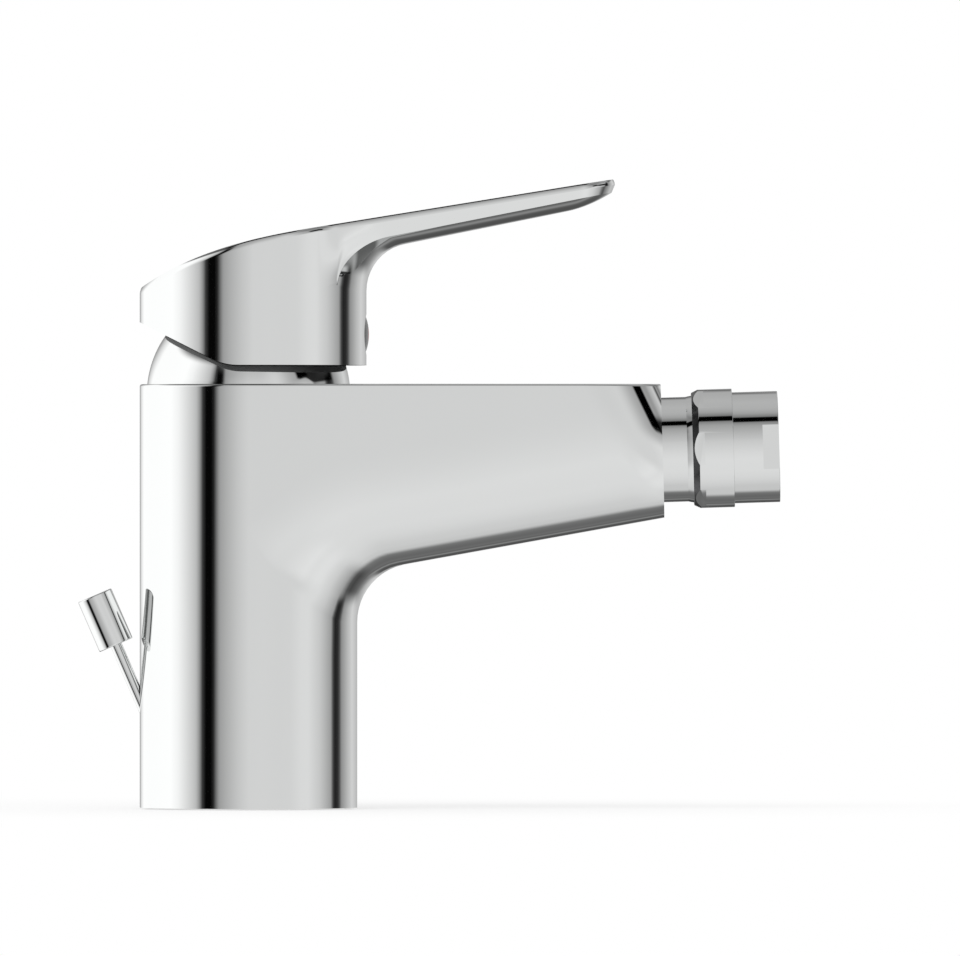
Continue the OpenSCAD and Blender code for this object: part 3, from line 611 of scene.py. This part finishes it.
def spout_under(x, y):
    lean = lean_at(x)
    floor = (floor_at_axis + floor_slope * (x + lean * body_h)) / (1 + floor_slope * lean)
    inset = nose_r * (1 - np.sqrt(np.maximum(0, 1 - (np.maximum(0, x - nose_x) / nose_l) ** 2)))
    edge = np.clip((column_r - np.hypot(np.minimum(x, 0), y) - inset) / belly_w, 0, 1)
    belly = belly_h * (1 - np.maximum(0, 1 - (1 - edge) ** 2) ** (1 / belly_power))
    return floor + belly - fillet_drop(np.hypot(x, y) - column_r, spout_fillet, spout_rise)


def leaned(x, y, z):
    return np.stack([x + lean_at(x) * (body_h - z), y, z + 0 * x], -1)


print("spout floor on the axis at", round(floor_at_axis, 2), "mm")

# %% Ribs of the body
back_ribs, side_ribs, nose_ribs, front_ribs, under_steps = 40, 56, 40, 12, 56
side_sweep, back_band = radians(50), 4.0
back_turn = np.linspace(pi, pi / 2, back_ribs + 1)
side_run = np.arange(1, side_ribs + 1) / side_ribs
nose_turn = np.linspace(pi / 2, 0, nose_ribs + 1)[1:]
front_run = np.linspace(1, 0, front_ribs + 1)[1:]
nose_share = np.linspace(1, 0, nose_ribs + front_ribs + 1)[1:]


def joined(*pieces):
    """Line in plan from pieces of x and y, where a single number is repeated."""
    return np.concatenate([np.broadcast_arrays(*piece) for piece in pieces], 1)


outer = joined(
    (column_r * np.cos(back_turn), column_r * np.sin(back_turn)),
    (nose_x * side_run ** 1.3, column_r),
    (nose_x + nose_l * np.cos(nose_turn), column_r - nose_r * (1 - np.sin(nose_turn))),
    (nose_x + nose_l, (column_r - nose_r) * front_run),
)
foot_turn = np.concatenate([back_turn, pi / 2 - side_sweep * side_run,
                            (pi / 2 - side_sweep) * nose_share])
foot = column_r * np.array([np.cos(foot_turn), np.sin(foot_turn)])
spine = np.array([np.clip(outer[0], 0, nose_x), 0 * outer[0]])
spine_gap = np.hypot(*(outer - spine))
at_back = np.arange(len(spine_gap)) <= back_ribs
print("ribs on one side:", len(at_back))


# %% Rows of the body
def add_row(*point):
    rows.append(np.stack(point, -1))


rows = []
for share in (1.0, 0.6, 0.3, 0.08):
    rows.append(leaned(*(outer + (spine - outer) * share), body_h))
for turn in np.linspace(0, pi / 2, 11):
    share = top_edge * (1 - sin(turn)) / spine_gap
    edge_z = body_h - top_edge * (1 - cos(turn))
    rows.append(leaned(*(outer + (spine - outer) * share), edge_z))
turn_z = spout_under(np.array(0.0), np.array(column_r))
side_end = np.where(at_back, turn_z + back_band, spout_under(*outer))
shoulder = body_h - top_edge
for share in (0.004, 0.1, 0.3, 0.5, 0.7, 0.9):
    rows.append(leaned(*outer, shoulder + (side_end - shoulder) * share))
for step, share in enumerate(eased(under_steps)):
    x, y = outer + (foot - outer) * share
    z = np.where(at_back, turn_z + back_band * (1 - 2 * step / under_steps), spout_under(x, y))
    rows.append(leaned(x, y, z))
for share in (0.8, 0.6, 0.4, 0.2, 0.02, 0.0):
    add_row(*foot, z * share)
add_row(foot[0], 0 * z, 0 * z)
body_mesh = rib_mesh("body_shell", np.stack(rows, 1))
print("body skin:", len(body_mesh.polygons), "faces before cutting")

# %% [markdown]
# The end face, the hollow base, the cartridge chamber and the bores are machined on the real
# casting. They are cut here in the same order: first the flat end, as a plane through the
# skin, then the bores.

# %% Flat end of the spout
ball_x = 8.2
joint_zero = ball - ball_x * spout_axis
work = bmesh.new()
work.from_mesh(body_mesh)
everything = [*work.verts, *work.edges, *work.faces]
sliced = bmesh.ops.bisect_plane(work, geom=everything, dist=1e-7, plane_co=joint_zero * MM,
                                plane_no=spout_axis, clear_outer=True)
rim = [edge for edge in sliced["geom_cut"] if isinstance(edge, bmesh.types.BMEdge)]
bmesh.ops.contextual_create(work, geom=rim)
bmesh.ops.recalc_face_normals(work, faces=work.faces)
work.to_mesh(body_mesh)
work.free()
print("edges around the flat end:", len(rim))

# %% Bores of the body
hollow_r, hollow_h = column_r - 3.5, 47.0
chamber_r, chamber_z = 17.6, body_h - 25.5
nut_seat_r, nut_thread_h = 19.5, 5.5
thread_r, connector_depth = 12.0, 10.5
groove_r, groove_w, groove_h = column_r - 1.75, 1.5, 1.4
rod_entry, rod_hole_r, rod_hole_in, rod_hole_l = np.array((-column_r, 0.0, 23.4)), 1.45, 12, 16
hose_r, hose_l, hose_x, hose_y = 4.5, 12, -2, 9
stud_r, stud_l, stud_x = 3.4, 9, 11
up_axis = (0, 0, 1)
past = 1  # cutters reach this far past the skin
groove = [(-past, groove_r - groove_w / 2), (-past, groove_r + groove_w / 2),
          (groove_h, groove_r + groove_w / 2), (groove_h, groove_r - groove_w / 2)]


def bore(name, radius, start, length, origin=(0, 0, 0), axis=up_axis, steps=96):
    end = start + length
    return turned(name, [(start, 0), (start, radius), (end, radius), (end, 0)],
                  origin, axis, steps=steps)


def inlet(name, radius, length, x, y):
    return bore(name, radius, hollow_h - past, length + past, (x, y, 0), steps=48)


body_mesh = cut(
    body_mesh,
    bore("hollow", hollow_r, -past, hollow_h + past),
    turned("groove", groove, (0, 0, 0), up_axis, closed=True),
    bore("chamber", chamber_r, chamber_z, body_h - chamber_z + past),
    bore("nut_seat", nut_seat_r, body_h - nut_thread_h, nut_thread_h + past),
    bore("connector_seat", thread_r, -connector_depth, connector_depth + past,
         joint_zero, spout_axis),
    bore("rod_hole", rod_hole_r, -rod_hole_in, rod_hole_l, rod_entry, rod_axis, 32),
    inlet("hose_left", hose_r, hose_l, hose_x, hose_y),
    inlet("hose_right", hose_r, hose_l, hose_x, -hose_y),
    inlet("stud", stud_r, stud_l, stud_x, 0),
)
place_piece("body_shell", body_mesh, "mixer_body", "body", sharp=14.0)

# %% [markdown]
# ## Handle
#
# The handle is cast and polished like the body: a round base that runs through a hollow blend
# into a flat, narrower lever with drafted sides. It has a shallow crown at the back and a rim
# that rises behind, so that the handle can tilt over the dome. It could be joined from a drum
# and a bar, but the seam would show. The same ribs as the body's make it in one; a sphere, cut
# out from below, leaves room for the dome.

# %% Rule of the handle
handle_r, handle_shift = 24.5, 1.0
lever_tip_r, lever_rise, lever_under_rise = 9.5, radians(9.3), radians(11.3)
lever_tip_t, lever_belly_h, lever_belly_w, lever_draft = 4.9, 2.1, 10.0, 0.7
lever_root_w, lever_root_draft, lever_blend = 16.3, 1.7, 12.0
lever_edge_r, lever_edge_turn = 2.3, radians(33)
lever_edge_h = lever_edge_r * sin(lever_edge_turn)
lever_fillet, rim_rise, rim_from, rim_round = 10.4, radians(26.8), -5.1, 3.0
crown_fall, crown_from, crown_power = 6.9, 22.0, 3.3
rim_z = body_h + 4.1
lever_tip_x = lever_reach - lever_tip_r
crown_span = crown_from - handle_shift + handle_r


def handle_top(x):
    crown = crown_fall * (np.maximum(0, crown_from - x) / crown_span) ** crown_power
    return tip_z - tan(lever_rise) * (lever_reach - x) - crown


# both edges of the lever start at its root on the round base and run tangent to the tip
root_turn = asin(lever_root_w / handle_r)
root_x = handle_shift + handle_r * cos(root_turn)
low_tip_r = lever_tip_r - lever_draft


def taper_from(half_width, tip_r):
    reach = lever_tip_x - root_x
    return acos(tip_r / hypot(reach, half_width)) - atan2(reach, half_width)


taper = taper_from(lever_root_w + lever_root_draft, lever_tip_r)
low_taper = taper_from(lever_root_w, low_tip_r)


def lever_under(x, y):
    past_side = (x - lever_tip_x) * cos(low_taper) - np.abs(y) * sin(low_taper) > 0
    side_edge = low_tip_r + (lever_tip_x - x) * sin(low_taper) - np.abs(y) * cos(low_taper)
    edge = np.where(past_side, low_tip_r - np.hypot(x - lever_tip_x, y), side_edge)
    belly = lever_belly_h * np.clip(1 - np.maximum(0, edge) / lever_belly_w, 0, 1) ** 2
    line = tip_z - lever_tip_t - tan(lever_under_rise) * (lever_reach - x)
    past_base = np.hypot(x - handle_shift, y) - handle_r
    return line + belly - fillet_drop(past_base, lever_fillet, lever_under_rise)


def rim_at(x):
    u = rim_from - x
    bend = np.clip(u + rim_round, 0, 2 * rim_round) ** 2 / (4 * rim_round)
    return rim_z + tan(rim_rise) * (bend + np.maximum(0, u - rim_round))


print("lever root at", round(root_x, 1), "mm")

# %% Edges of the handle
back_ribs, blend_ribs, side_ribs, tip_ribs = 44, 18, 54, 28
# a hollow blend, tangent to the round base and to the lever's side
spread = lever_tip_r + lever_blend + (lever_tip_x - handle_shift) * sin(taper)
blend_turn = taper + acos(spread / (handle_r + lever_blend))
blend_x = handle_shift + (handle_r + lever_blend) * sin(blend_turn)
blend_y = (handle_r + lever_blend) * cos(blend_turn)
back_turn = np.linspace(pi, pi / 2 - blend_turn, back_ribs + 1)
turns = np.linspace(blend_turn, taper, blend_ribs + 1)[1:]
run = (np.arange(1, side_ribs + 1) / side_ribs) ** 1.2
tip_turn = np.linspace(pi / 2 - taper, 0, tip_ribs + 1)[1:]
taper_way = np.array((sin(taper), cos(taper)))
side_start = np.array((blend_x, blend_y)) - lever_blend * taper_way
side_end = np.array((lever_tip_x, 0)) + lever_tip_r * taper_way
outer = joined(
    (handle_shift + handle_r * np.cos(back_turn), handle_r * np.sin(back_turn)),
    (blend_x - lever_blend * np.sin(turns), blend_y - lever_blend * np.cos(turns)),
    side_start[:, None] + (side_end - side_start)[:, None] * run,
    (lever_tip_x + lever_tip_r * np.cos(tip_turn), lever_tip_r * np.sin(tip_turn)),
)
print("lever tapers by", round(degrees(taper), 1), "degrees a side")

# %% Feet and lower edge of the handle
# the feet go round the base up to the root, and then fan out under the lever
front_turn = radians(24)
foot_turn = np.concatenate([
    back_turn,
    np.linspace(pi / 2 - blend_turn, root_turn, blend_ribs + 1)[1:],
    root_turn + (front_turn - root_turn) * run,
    front_turn * tip_turn / tip_turn[0] * (tip_ribs - 1) / tip_ribs,
])
foot = np.array([handle_shift + handle_r * np.cos(foot_turn), handle_r * np.sin(foot_turn)])
# the lower edge is on the base up to the root, and then straight to the tip
low_start = np.array((root_x, lever_root_w))
low_end = (lever_tip_x, 0) + low_tip_r * np.array((sin(low_taper), cos(low_taper)))
low_turn = tip_turn / (pi / 2 - taper) * (pi / 2 - low_taper)
low = joined(
    foot[:, :back_ribs + blend_ribs + 1],
    low_start[:, None] + (low_end - low_start)[:, None] * run,
    (lever_tip_x + low_tip_r * np.cos(low_turn), low_tip_r * np.sin(low_turn)),
)
order = np.arange(len(foot_turn))
at_back = order <= back_ribs
blend_out = np.where((order > back_ribs) & (order <= back_ribs + blend_ribs), 0.02, 0)
low = low + (outer - low) * blend_out
print("and below by", round(degrees(low_taper), 1), "degrees")

# %% Ribs of the handle
under_steps, swing_run = 48, 0.15
spine = np.array([np.clip(outer[0], handle_shift, lever_tip_x), 0 * outer[0]])
width = np.hypot(*(outer - spine))
rows = []
for share in (1.0, 0.75, 0.5, 0.25, 0.08, 0.06):
    x, y = outer + (spine - outer) * share
    add_row(x, y, handle_top(x))
side_top = handle_top(outer[0]) - lever_edge_h
for turn in np.linspace(lever_edge_turn, 0, 11):
    x, y = outer + (spine - outer) * (lever_edge_r * (1 - cos(turn)) / width)
    edge_z = handle_top(x) - lever_edge_h + lever_edge_r * sin(turn)
    add_row(x, y, edge_z)
turn_z = lever_under(*outer[:, back_ribs])
back_z = np.minimum(turn_z, side_top - lever_edge_h - back_band / 4)
low_z = np.where(at_back, back_z, lever_under(*low))
# at the root the side swings in softly to the round base, along the lever it is straight
straight = np.concatenate([np.zeros(back_ribs + blend_ribs + 1), smooth01(run / swing_run),
                           np.ones(tip_ribs)])
for share in np.linspace(0.02, 0.99, 16):
    x, y = outer + (low - outer) * (smooth01(share) * (1 - straight) + share * straight)
    add_row(x, y, side_top + (low_z - side_top) * share)
for step, share in enumerate(eased(under_steps)):
    x, y = low + (foot - low) * share
    z = np.where(at_back, back_z - back_band / 2 * step / under_steps, lever_under(x, y))
    add_row(x, y, z)
rim_line = rim_at(foot[0])
for share in (0.8, 0.6, 0.4, 0.2, 0.02, 0.0):
    add_row(*foot, rim_line + (z - rim_line) * share)
for share in (0.97, 0.0):
    add_row(foot[0], foot[1] * share, rim_line)
handle_mesh = rib_mesh("handle_shell", np.stack(rows, 1))
print("handle skin:", len(handle_mesh.polygons), "faces before cutting")

# %% Dome room, boss and plug seat of the handle
dome_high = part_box("dome_cover")[1]
dome_r = dome_high.y / MM
cavity_r = dome_r + 0.5
boss_r, boss_z = 5.5, body_h + 7.5
plug_low, plug_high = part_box("index_plug")
plug_r = plug_high.y / MM
plug_z = (plug_low.z + plug_high.z) / 2 / MM
plug_slack = 0.03
front_x = handle_shift + handle_r
plug_depth = front_x - plug_low.x / MM
plug_seat = (front_x, 0, plug_z)
top_in = sqrt(cavity_r ** 2 - boss_r ** 2)
arc = np.linspace(0, pi, 49)
open_arc = [a for a in arc if cavity_r * sin(a) > boss_r * 1.02 or a < 1]
room = [(-cavity_r * cos(a), cavity_r * sin(a)) for a in open_arc]
room += [(top_in, boss_r), (boss_z - pivot[2], boss_r), (boss_z - pivot[2], 0)]
handle_mesh = cut(
    handle_mesh,
    turned("dome_room", room, pivot, up_axis),
    bore("plug_seat", plug_r + plug_slack, -plug_depth, plug_depth + 2, plug_seat, (1, 0, 0)),
)
handle_shell = place_piece("handle_shell", handle_mesh, "lever", "handle", sharp=16.0)

# %% [markdown]
# ## Painted shade under the handle
#
# The hollow and the rim's lower face are painted near black, dull and gritty: this is painted
# shade for the dark under the handle, and it gives the dome the dark line that it mirrors under
# the handle. Paint on the chrome could do it, but a finish of its own is clearer.

# %% Painted shade under the handle
# painted shade: a near-black base colour on the hollow, the boss and the rim's lower face
hollow_shade_finish = grained("raw_casting", [(0.03, 0.031, 0.031), (0.06, 0.06, 0.06)],
                   (800.0, 3.0), (800.0, 3.0), (0.6, 0, 0.2), (0.3, 0.0001))
handle_shell.data.materials.append(hollow_shade_finish)
room_near, boss_near, floor_near, rim_near, rim_facing = 0.3, 0.2, 0.1, 0.2, -0.6
shade_painted_faces = 0
for face in handle_shell.data.polygons:
    x, y, z = middle = np.array(face.center) / MM
    in_room = abs(np.linalg.norm(middle - pivot) - cavity_r) < room_near
    in_boss = hypot(x, y) < boss_r + boss_near and z < boss_z + floor_near
    on_rim = face.normal.z < rim_facing and abs(z - rim_at(x)) < rim_near
    face.material_index = int(in_room or in_boss or on_rim)
    shade_painted_faces += face.material_index
print("faces with painted shade:", shade_painted_faces)

# %% [markdown]
# ## Dome
#
# Under the handle sits a chromed shroud, spun from sheet: part of a sphere around the lift
# pivot, open at the top. Turning its wall as one closed profile gives both faces and the rims.

# %% Dome shroud
dome_wall, web_t, collar_r = 1.2, 1.5, 17.05
dome_top = dome_high.z / MM - pivot[2]
dome_foot = body_h - pivot[2]
inner_r, inner_foot = dome_r - dome_wall, dome_foot + web_t


def ball_arc(radius, start, end, steps=33, centre=0.0):
    """Points (along, radius) on a ball between two places along its axis."""
    turns = np.linspace(asin((start - centre) / radius), asin((end - centre) / radius), steps)
    return [(centre + radius * sin(a), radius * cos(a)) for a in turns]


wall = ball_arc(dome_r, dome_foot, dome_top) + ball_arc(inner_r, dome_top, inner_foot)
wall += [(inner_foot, collar_r), (dome_foot, collar_r)]
dome_mesh = turned("dome_shell", wall, pivot, up_axis, closed=True, steps=160)
place_piece("dome_shell", dome_mesh, "mixer_body", "dome_cover")

# %% [markdown]
# ## Outlet joint
#
# The neck and ball are one turned piece that screws into the spout. The nut with its spanner
# flats and the barrel with two flats swing on the ball. All three are lathe work, so they are
# turned here too, with corners softened as a deburring tool leaves them, and then milled.

# %% Neck and ball
ball_r, neck_r, bore_r = 11.65, 11.31, 6.5
socket_r = ball_r + 0.05
thread_in, thread_gap, face_gap = -9.0, 0.03, -0.02
ball_end = ball_x + 6.5
neck_end = ball_x - sqrt(ball_r ** 2 - neck_r ** 2)
thread_out = thread_r - thread_gap
profile = [(thread_in, bore_r), (thread_in, thread_out), (face_gap, thread_out), (face_gap, neck_r)]
profile += [(x, neck_r) for x in np.linspace(0.1, neck_end - 0.1, 6)]
profile += ball_arc(ball_r, neck_end, ball_end, centre=ball_x)
profile += [(ball_end, bore_r)]
neck_mesh = turned("joint_neck", profile, joint_zero, spout_axis, closed=True)
place_piece("joint_neck", neck_mesh, "mixer_body", "joint_connector", sharp=12.0)

# %% Nut with spanner flats
nut_start, nut_end = ball_x - 1.6, ball_x + 7.2
nut_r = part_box("joint_nut")[1].y / MM
nut_flats, nut_flat_l, nut_chamfer, nut_chamfer_l = 24.6, 2.6, 0.68, 1.4
thread_start = ball_x + 3.4
over = np.cross(spout_axis, (0, 1, 0))


def mill(turn, start, end, across, half):
    """Cutter for one spanner flat."""
    face = cos(turn) * np.array((0, 1, 0)) + sin(turn) * over
    basis = np.column_stack([spout_axis, face, np.cross(spout_axis, face)])
    return block((start, across / 2, -half), (end, across / 2 + 5, half), basis, joint_zero)


lip = sqrt(socket_r ** 2 - (ball_x - nut_start) ** 2)
outside = soften([(nut_start, lip), (nut_start, nut_r - nut_chamfer),
                  (nut_start + nut_chamfer_l, nut_r), (nut_end, nut_r), (nut_end, thread_r)], 0.15)
inside = ball_arc(socket_r, thread_start, nut_start, 17, ball_x)[:-1]
profile = np.concatenate([outside, [(thread_start, thread_r)], inside])
nut_mesh = turned("nut", profile, joint_zero, spout_axis, closed=True, steps=144)
mills = [mill(k * pi / 3, nut_start - past, nut_start + nut_flat_l, nut_flats, 9)
         for k in range(6)]
nut_mesh = cut(nut_mesh, *mills)
nut_piece = place_piece("joint_nut_ring", nut_mesh, "outlet_nozzle", "joint_nut", sharp=18.0)

# %% [markdown]
# ## Painted shade on the nut's chamfer
#
# In the photograph the nut's chamfer is a dark line against the neck. Here it is painted shade:
# the chamfer faces, in the corner against the neck, are painted darker and less bright than the
# polished flats, so only those faces get this finish.

# %% Painted shade on the chamfer
# painted shade: a near-black metal base colour on the chamfer faces, in the corner against the neck
turned_edge = grained("turned_edge", [(0.05, 0.051, 0.052), (0.13, 0.13, 0.132)],
                      (900.0,), (900.0,), (0.12, 0, 0.12), Metallic=1.0)
nut_piece.data.materials.append(turned_edge)
chamfer_facing, chamfer_end = -0.25, nut_start + nut_chamfer_l + 0.2
for face in nut_piece.data.polygons:
    ahead = float(np.dot(face.normal, spout_axis))
    rearward = np.dot(np.array(face.center) / MM - joint_zero, spout_axis) < chamfer_end
    face.material_index = int(ahead < chamfer_facing and rearward)
print("dark faces of the nut:", sum(face.material_index for face in nut_piece.data.polygons))

# %% Barrel with two flats
barrel_x, barrel_end = nut_end + 0.03, nut_end + 9.83
flats, flats_l, barrel_bore, bore_start = 22.0, 3.5, 10.5, nut_end + 3.13
way_r, thread_low = bore_r - 0.5, thread_r - 0.05
thread = [(thread_start, thread_low), (barrel_x, thread_low), (barrel_x, thread_r)]
outside = soften([(barrel_x + 1, thread_r), (barrel_end, thread_r), (barrel_end, barrel_bore),
                  (bore_start, barrel_bore), (bore_start, way_r)], 0.2)
way_start = ball_x + sqrt(socket_r ** 2 - way_r ** 2)
inside = ball_arc(socket_r, way_start, thread_start, 17, ball_x)
profile = np.concatenate([thread, outside, inside])
barrel_mesh = turned("barrel", profile, joint_zero, spout_axis, closed=True, steps=144)
mills = [mill(turn, barrel_end - flats_l, barrel_end + past, flats, 14) for turn in (pi, 0)]
place_piece("nozzle_barrel", cut(barrel_mesh, *mills), "outlet_nozzle", "nozzle", sharp=18.0)

# %% [markdown]
# ## Lift rod and knob
#
# A drawn rod with a turned knob pressed on. Both are plain lathe work; what makes them look
# real is the small rounding at every edge, which catches its own thin highlight.

# %% Lift rod and knob
rod_r, rod_free, knob_hold, knob_r, knob_l, knob_slack = 1.25, 12.8, 6.0, 3.9, 11.7, 0.03
rod_end_z = 1.6
rod_end = -(rod_entry[2] - rod_end_z) / rod_axis[2]
rod_top, knob_top = rod_free + knob_hold, rod_free + knob_l
profile = soften([(rod_end, 0), (rod_end, rod_r), (rod_top, rod_r), (rod_top, 0)], 0.25)
rod_mesh = turned("rod", profile, rod_entry, rod_axis, steps=64)
place_piece("lift_rod_bar", rod_mesh, "lift_rod_and_knob", "lift_rod")
knob_bore, knob_floor = rod_r + knob_slack, rod_top + knob_slack
profile = soften([(knob_floor, 0), (knob_floor, knob_bore), (rod_free, knob_bore),
                  (rod_free, knob_r), (knob_top, knob_r), (knob_top, 0)], 0.3)
knob_mesh = turned("knob", profile, rod_entry, rod_axis, steps=96)
place_piece("lift_knob_turned", knob_mesh, "lift_rod_and_knob", "lift_knob")

# %% [markdown]
# ## Index plug
#
# The plug in the handle's front hides the screw and shows which way is hot. The photograph
# shows only its dark edge. It is a domed disc of glossy plastic with a dark border; the red
# and blue halves are moulded into the middle, so one material splits them by place.

# %% Index plug
plug_dome = plug_high.x / MM - front_x
plug_sunk = 0.4
plug_rise = plug_dome + plug_sunk
plug_ball = (plug_r ** 2 + plug_rise ** 2) / (2 * plug_rise)
dome_turn = np.linspace(asin(plug_r / plug_ball), 0, 13)
ball_at = plug_dome - plug_ball
profile = [(-plug_depth, 0), (-plug_depth, plug_r)]
profile += [(ball_at + plug_ball * cos(a), plug_ball * sin(a)) for a in dome_turn]

index_finish, shader, place = new_finish("index_plastic", IOR=1.5, Coat_Weight=0.4)
middle_r, border_soft, seam_soft = 1.8 * MM, 0.1 * MM, 0.04 * MM
across, upward = place.part(1), place.part(2) - plug_z * MM
off_centre = (across * across + upward * upward).maths("SQRT")
cloudy = texture(place, 700.0)
hot_side = across.step(seam_soft, -seam_soft)
halves = two_tone(hot_side, (0.01, 0.07, 0.30), (0.42, 0.012, 0.014))
dark = two_tone(cloudy, (0.028, 0.029, 0.029), (0.05, 0.05, 0.05))
border = off_centre.step(middle_r, middle_r + border_soft)
dress(shader, border, (halves, dark), 0.16 + 0.12 * cloudy)
plug_mesh = turned("plug", profile, plug_seat, (1, 0, 0), steps=96)
place_piece("index_lens", plug_mesh, "lever", "index_plug", finish=index_finish)

# %% [markdown]
# ## Aerator
#
# The aerator's face is a moulded honeycomb that mixes air into the jet. Forty cells by hand
# would be dull and uneven; Geometry Nodes lay points on a hexagonal pitch, keep those inside
# the rim and put one six-sided cell on each. The result is made a plain mesh at the end.


# %% Honeycomb tree
def honeycomb_tree(finish):
    tree = bpy.data.node_groups.new("honeycomb", "GeometryNodeTree")
    ports = {}
    for label in ("Pitch", "Reach", "Depth", "Wall"):
        port = tree.interface.new_socket(label, in_out="INPUT", socket_type="NodeSocketFloat")
        ports[label] = port.identifier
    tree.interface.new_socket("Geometry", in_out="OUTPUT", socket_type="NodeSocketGeometry")

    def step(kind, *sockets, **settings):
        return Wire.node(tree, kind, *sockets, **settings)

    pitch, reach, depth, wall = (step("NodeGroupInput", None, label) for label in ports)
    side = 11
    middle = (side - 1) / 2
    index = step("GeometryNodeInputIndex")
    row = (index * (1 / side)).maths("FLOOR")
    column = index - row * side
    odd = row.maths("PINGPONG", 1.0)
    x = (column + odd * 0.5 - middle - 0.5) * pitch
    y = (row - middle) * pitch * sin(pi / 3)
    spot = step("ShaderNodeCombineXYZ", {0: x, 1: y, 2: 0.0})
    grid = step("GeometryNodePoints", {"Count": side * side, "Position": spot})
    position = step("GeometryNodeInputPosition")
    far = step("ShaderNodeVectorMath", {0: position}, "Value", operation="LENGTH")
    outside = far.maths("GREATER_THAN", reach)
    kept = step("GeometryNodeDeleteGeometry", {"Geometry": grid, "Selection": outside})
    corner_r = (pitch - wall) * (0.5 / cos(pi / 6))
    hexagon = step("GeometryNodeCurvePrimitiveCircle", {"Resolution": 6, "Radius": corner_r})
    upright = {"Geometry": hexagon, "Rotation": (0, 0, pi / 6)}
    outline = step("GeometryNodeTransform", upright)
    strip = step("GeometryNodeCurvePrimitiveQuadrilateral", {"Width": wall, "Height": depth})
    cell = step("GeometryNodeCurveToMesh", {"Curve": outline, "Profile Curve": strip})
    cells = step("GeometryNodeInstanceOnPoints", {"Points": kept, "Instance": cell})
    real = step("GeometryNodeRealizeInstances", {"Geometry": cells})
    dressed = step("GeometryNodeSetMaterial", {"Geometry": real, "Material": finish})
    step("NodeGroupOutput", {0: dressed})
    return tree, ports


comb_tree, comb_ports = honeycomb_tree(aerator_acetal)
print("honeycomb tree:", len(comb_tree.nodes), "nodes")

# %% Aerator face
insert_start, insert_end = bore_start + 1.4, barrel_end - 0.5
comb_depth, comb_rim, comb_r = insert_end - 1.0 - insert_start, 1.4, barrel_bore - 0.03
carrier = new_object("comb", bpy.data.meshes.new("comb"))
maker = carrier.modifiers.new("honeycomb", "NODES")
maker.node_group = comb_tree
for label, value in (("Pitch", 2.45), ("Reach", 8.0), ("Depth", comb_depth), ("Wall", 0.35)):
    maker[comb_ports[label]] = value
graph = bpy.context.evaluated_depsgraph_get()
comb = bpy.data.meshes.new_from_object(carrier.evaluated_get(graph))
carrier.modifiers.remove(maker)
bpy.data.objects.remove(carrier)
basis = Matrix(np.column_stack([np.array((0, 1, 0)), over, spout_axis]).tolist()).to_4x4()
centre = joint_zero + spout_axis * (insert_start + comb_depth / 2)
comb.transform(Matrix.Translation(Vector(centre * MM)) @ basis @ Matrix.Scale(MM, 4))
hoop = [(insert_start, comb_r - comb_rim), (insert_start, comb_r),
        (insert_end, comb_r), (insert_end, comb_r - comb_rim)]
hoop_mesh = turned("hoop", soften(hoop, 0.2, closed=True), joint_zero, spout_axis, closed=True)
work = bmesh.new()
work.from_mesh(comb)
work.from_mesh(hoop_mesh)
bmesh.ops.recalc_face_normals(work, faces=work.faces)
work.to_mesh(comb)
work.free()
place_piece("aerator_face", comb, "outlet_nozzle", "aerator_insert", finish=aerator_acetal)

# %% [markdown]
# ## Finishes on the solids that stay
#
# The pieces inside the mixer keep their solids, which already have the right shape. Each gets
# the finish of its material in its own slot.

# %% Inner pieces
inner_finishes = {
    acetal: ("rod_guide", "cartridge_base", "cartridge_housing", "disc_carrier", "turret"),
    ceramic: ("fixed_disc", "moving_disc"),
    rubber: ("base_o_ring", "port_gasket", "dome_o_ring", "connector_seal", "ball_o_ring",
             "aerator_seal"),
    steel: ("spindle_pin", "spindle", "handle_screw", "aerator_screen"),
    brass: ("retaining_nut",),
}
for finish, names in inner_finishes.items():
    for name in names:
        for slot in frame["nodes"][name].material_slots:
            slot.material = finish
print("inner pieces dressed:", sum(len(names) for names in inner_finishes.values()))
